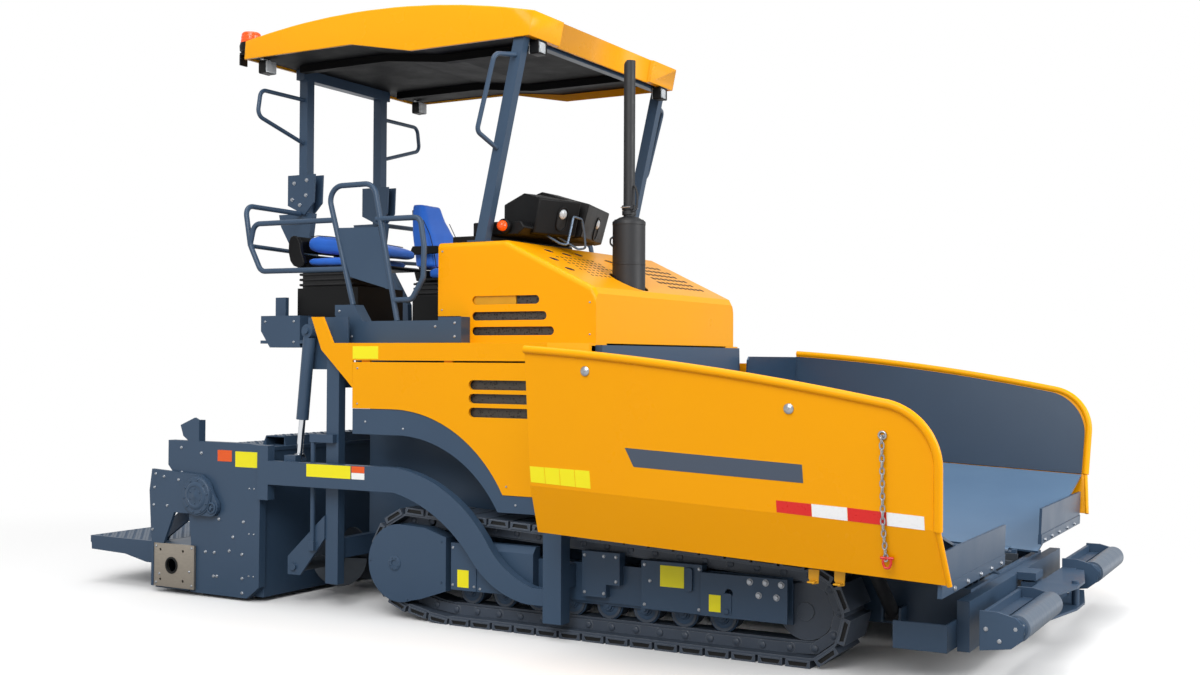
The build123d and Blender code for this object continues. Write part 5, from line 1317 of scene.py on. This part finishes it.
def body_screws(bm):
    """Button heads on the panels and boxes."""
    heads_on(bm, "side_panels", [(-820, 1450), (-820, 1240), (650, 1450), (650, 800), (240, 800)], 5)
    heads_on(bm, "fenders", [(-760, 1135), (-480, 1100), (-230, 960), (60, 770), (300, 700), (600, 700)], 6)
    heads_on(bm, "platform", [(-1130, 1800), (-1030, 1640), (-400, 1700), (-260, 1720), (-260, 1640), (-1740, 1740),
                              (-1500, 1740), (-1500, 1610)], 7)
    heads_on(bm, "hood", [(-420, 2150), (-420, 1800), (600, 1650), (600, 1830)], 5)


both_sides("push_roller_ends", roller_ends, SLATE_ENAMEL, "push_roller_{side}")
for build, name, body in ((roller_nuts, "push_roller_nuts", "push_roller_{side}"),
                          (apron_bolts, "apron_bolts", "wing_{side}"), (beam_bolts, "beam_bolts", "push_beam"),
                          (hinge_plate_bolts, "hinge_plate_bolts", "root"),
                          (track_frame_bolts, "track_frame_bolts", "root"), (body_screws, "body_screws", "root")):
    both_sides(name, build, ZINC, body)

# %% Brackets under the wing
def wing_tabs(bm):
    """Bent ochre tabs of the wing's lock, below the skirt."""
    for x in (2175, 2300):
        prism(bm, [(x - 26, 545), (x + 26, 545), (x + 22, 480), (x - 8, 474), (x - 26, 500)], -1598, -1590)
        prism(bm, rounded(x - 18, x + 18, 486, 494, 3), -1640, -1592)


both_sides("wing_lock_tabs", wing_tabs, OCHRE_ENAMEL, "wing_{side}", bevel=1)
print("brackets done")

# %% [markdown]
# ## Moulded edges
# The canopy is laid up in a mould and the console's hoods are moulded too, so neither has
# a sharp edge, while the frame's plain solids do. A copy of the canopy takes its place:
# its flat triangles are merged, and a bevel rolls the outer edges. The console is built
# again from its own outlines, with hoods that stand a little lower.

# %% Rolled canopy
SHARP_FROM = math.radians(28)          # an edge that turns by more is rolled


def softened(node, width_mm, edges_of):
    """A copy of a node with rolled edges, standing for it."""
    bm = bmesh.new()
    bm.from_mesh(NODES[node].data)
    bm.transform(Matrix.Scale(1 / MM, 4))
    bmesh.ops.remove_doubles(bm, verts=bm.verts, dist=0.01)
    bmesh.ops.dissolve_limit(bm, angle_limit=math.radians(1.5), verts=bm.verts, edges=bm.edges)
    picked = [e for e in bm.edges if len(e.link_faces) == 2 and e.is_convex and e.calc_face_angle() > SHARP_FROM
              and edges_of(e)]
    bmesh.ops.bevel(bm, geom=picked, offset=width_mm, segments=4, affect="EDGES", clamp_overlap=True, profile=0.5)
    slot = SLOT_OF[node]
    obj = make(f"{node}_rolled", bm, FINISH[slot], smooth=50)
    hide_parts(node)
    return len(picked)


def outside_edges(edge):
    """Edges between faces that both look up or outward, away from the machine's middle."""
    middle = (edge.verts[0].co + edge.verts[1].co) / 2
    away = Vector((middle.x + 950, middle.y, 0))
    return all(f.normal.z > 0.3 or (f.normal.z > -0.2 and f.normal.dot(away) > 0) for f in edge.link_faces)


print("rolled edges:", softened("canopy_roof", 9, outside_edges))

# %% Console hoods
def console_desk():
    """Desk on its rail, shelf, two hoods in a shallow V and the lid over their joint."""
    hood_line = [(-200, 2330), (30, 2255), HOOD_FOOT, HOOD_TOP, (-20, 2508), (-200, 2452)]
    rail = at("console", "z0")
    whole = bmesh.new()
    prism(whole, [(-430, rail), (-150, rail), (-150, rail + 45), (-430, rail + 45)], -830, 130)
    prism(whole, [(-300, 2247), (20, 2247), (70, 2290), (40, 2330), (-300, 2330)], -800, 100)
    for side, near, far in (("right", -112, 227.5), ("left", -277.5, 277.5)):
        hood = bmesh.new()
        prism(hood, hood_line, near, far)
        hood.transform(hood_place(side))
        part = bpy.data.meshes.new("hood_part")
        hood.to_mesh(part)
        whole.from_mesh(part)
        bpy.data.meshes.remove(part)
        hood.free()
    prism(whole, [(-190, 2441), (-20, 2497), (120, 2460), (130, 2492), (-20, 2538), (-190, 2484)], -470, -270)
    return whole


desk = make("console_desk", console_desk(), BLACK_MOULDING, bevel=8)
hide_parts("console")
print("console:", len(desk.data.polygons), "faces")

# %% Finishes of single nodes
# Sprayed lining: dry, and near black, darker than its own black as painted shade under the
# roof. Hopper lining: the same enamel, darker on its walls as painted shade and lighter on
# its floor as painted light where it faces up, with fine streaks in its bump. The lining's
# own normal tells wall from floor, so the painted light folds with the wing.
LINING_BLACK_AND_SHADE = surface("lining_black_painted_shade", "#050506", "#070708", 200, 1.8, 0.2, 0.6, shine=0.12)


def hopper_lining():
    material, tree = blank("slate_lining_painted_light")
    coords = add(tree, "ShaderNodeTexCoord", {})
    normal = add(tree, "ShaderNodeSeparateXYZ", {"Vector": coords.outputs["Normal"]})
    # Walls get a darker slate as painted shade, and faces that look up a lighter one as painted light.
    faces_up_painted_light = add(tree, "ShaderNodeMapRange", {"Value": normal.outputs["Z"], "From Min": 0.45, "From Max": 0.8})
    drift = add(tree, "ShaderNodeTexNoise", {"Vector": coords.outputs["Object"], "Scale": 2.4, "Detail": 5.0})
    wall = add(tree, "ShaderNodeMix", {"data_type": "RGBA", "Factor": drift.outputs["Fac"],
                                       "A": srgb("#22364B"), "B": srgb("#2C4157")})
    floor = add(tree, "ShaderNodeMix", {"data_type": "RGBA", "Factor": drift.outputs["Fac"],
                                        "A": srgb("#4E6885"), "B": srgb("#5E7995")})
    colour = add(tree, "ShaderNodeMix", {"data_type": "RGBA", "Factor": faces_up_painted_light.outputs[0],
                                         "A": wall.outputs["Result"], "B": floor.outputs["Result"]})
    rub = add(tree, "ShaderNodeMapping", {"Vector": coords.outputs["Object"], "Scale": (40, 300, 40)})
    scratch = add(tree, "ShaderNodeTexNoise", {"Vector": rub.outputs[0], "Scale": 1.0, "Detail": 3.0})
    bump = add(tree, "ShaderNodeBump", {"Strength": 0.12, "Distance": 0.001, "Height": scratch.outputs["Fac"]})
    shader = add(tree, "ShaderNodeBsdfPrincipled", {"Base Color": colour.outputs["Result"], "Roughness": 0.3,
                                                    "Specular IOR Level": 0.4, "Normal": bump.outputs[0]})
    add(tree, "ShaderNodeOutputMaterial", {"Surface": shader.outputs[0]})
    return material


SLATE_LINING_PAINTED_LIGHT = hopper_lining()
for node, finish in (("canopy_lining", LINING_BLACK_AND_SHADE), ("wing_liner_left", SLATE_LINING_PAINTED_LIGHT),
                     ("wing_liner_right", SLATE_LINING_PAINTED_LIGHT)):
    for material_slot in NODES[node].material_slots:
        material_slot.material = finish
print("refinished:", LINING_BLACK_AND_SHADE.name, SLATE_LINING_PAINTED_LIGHT.name)
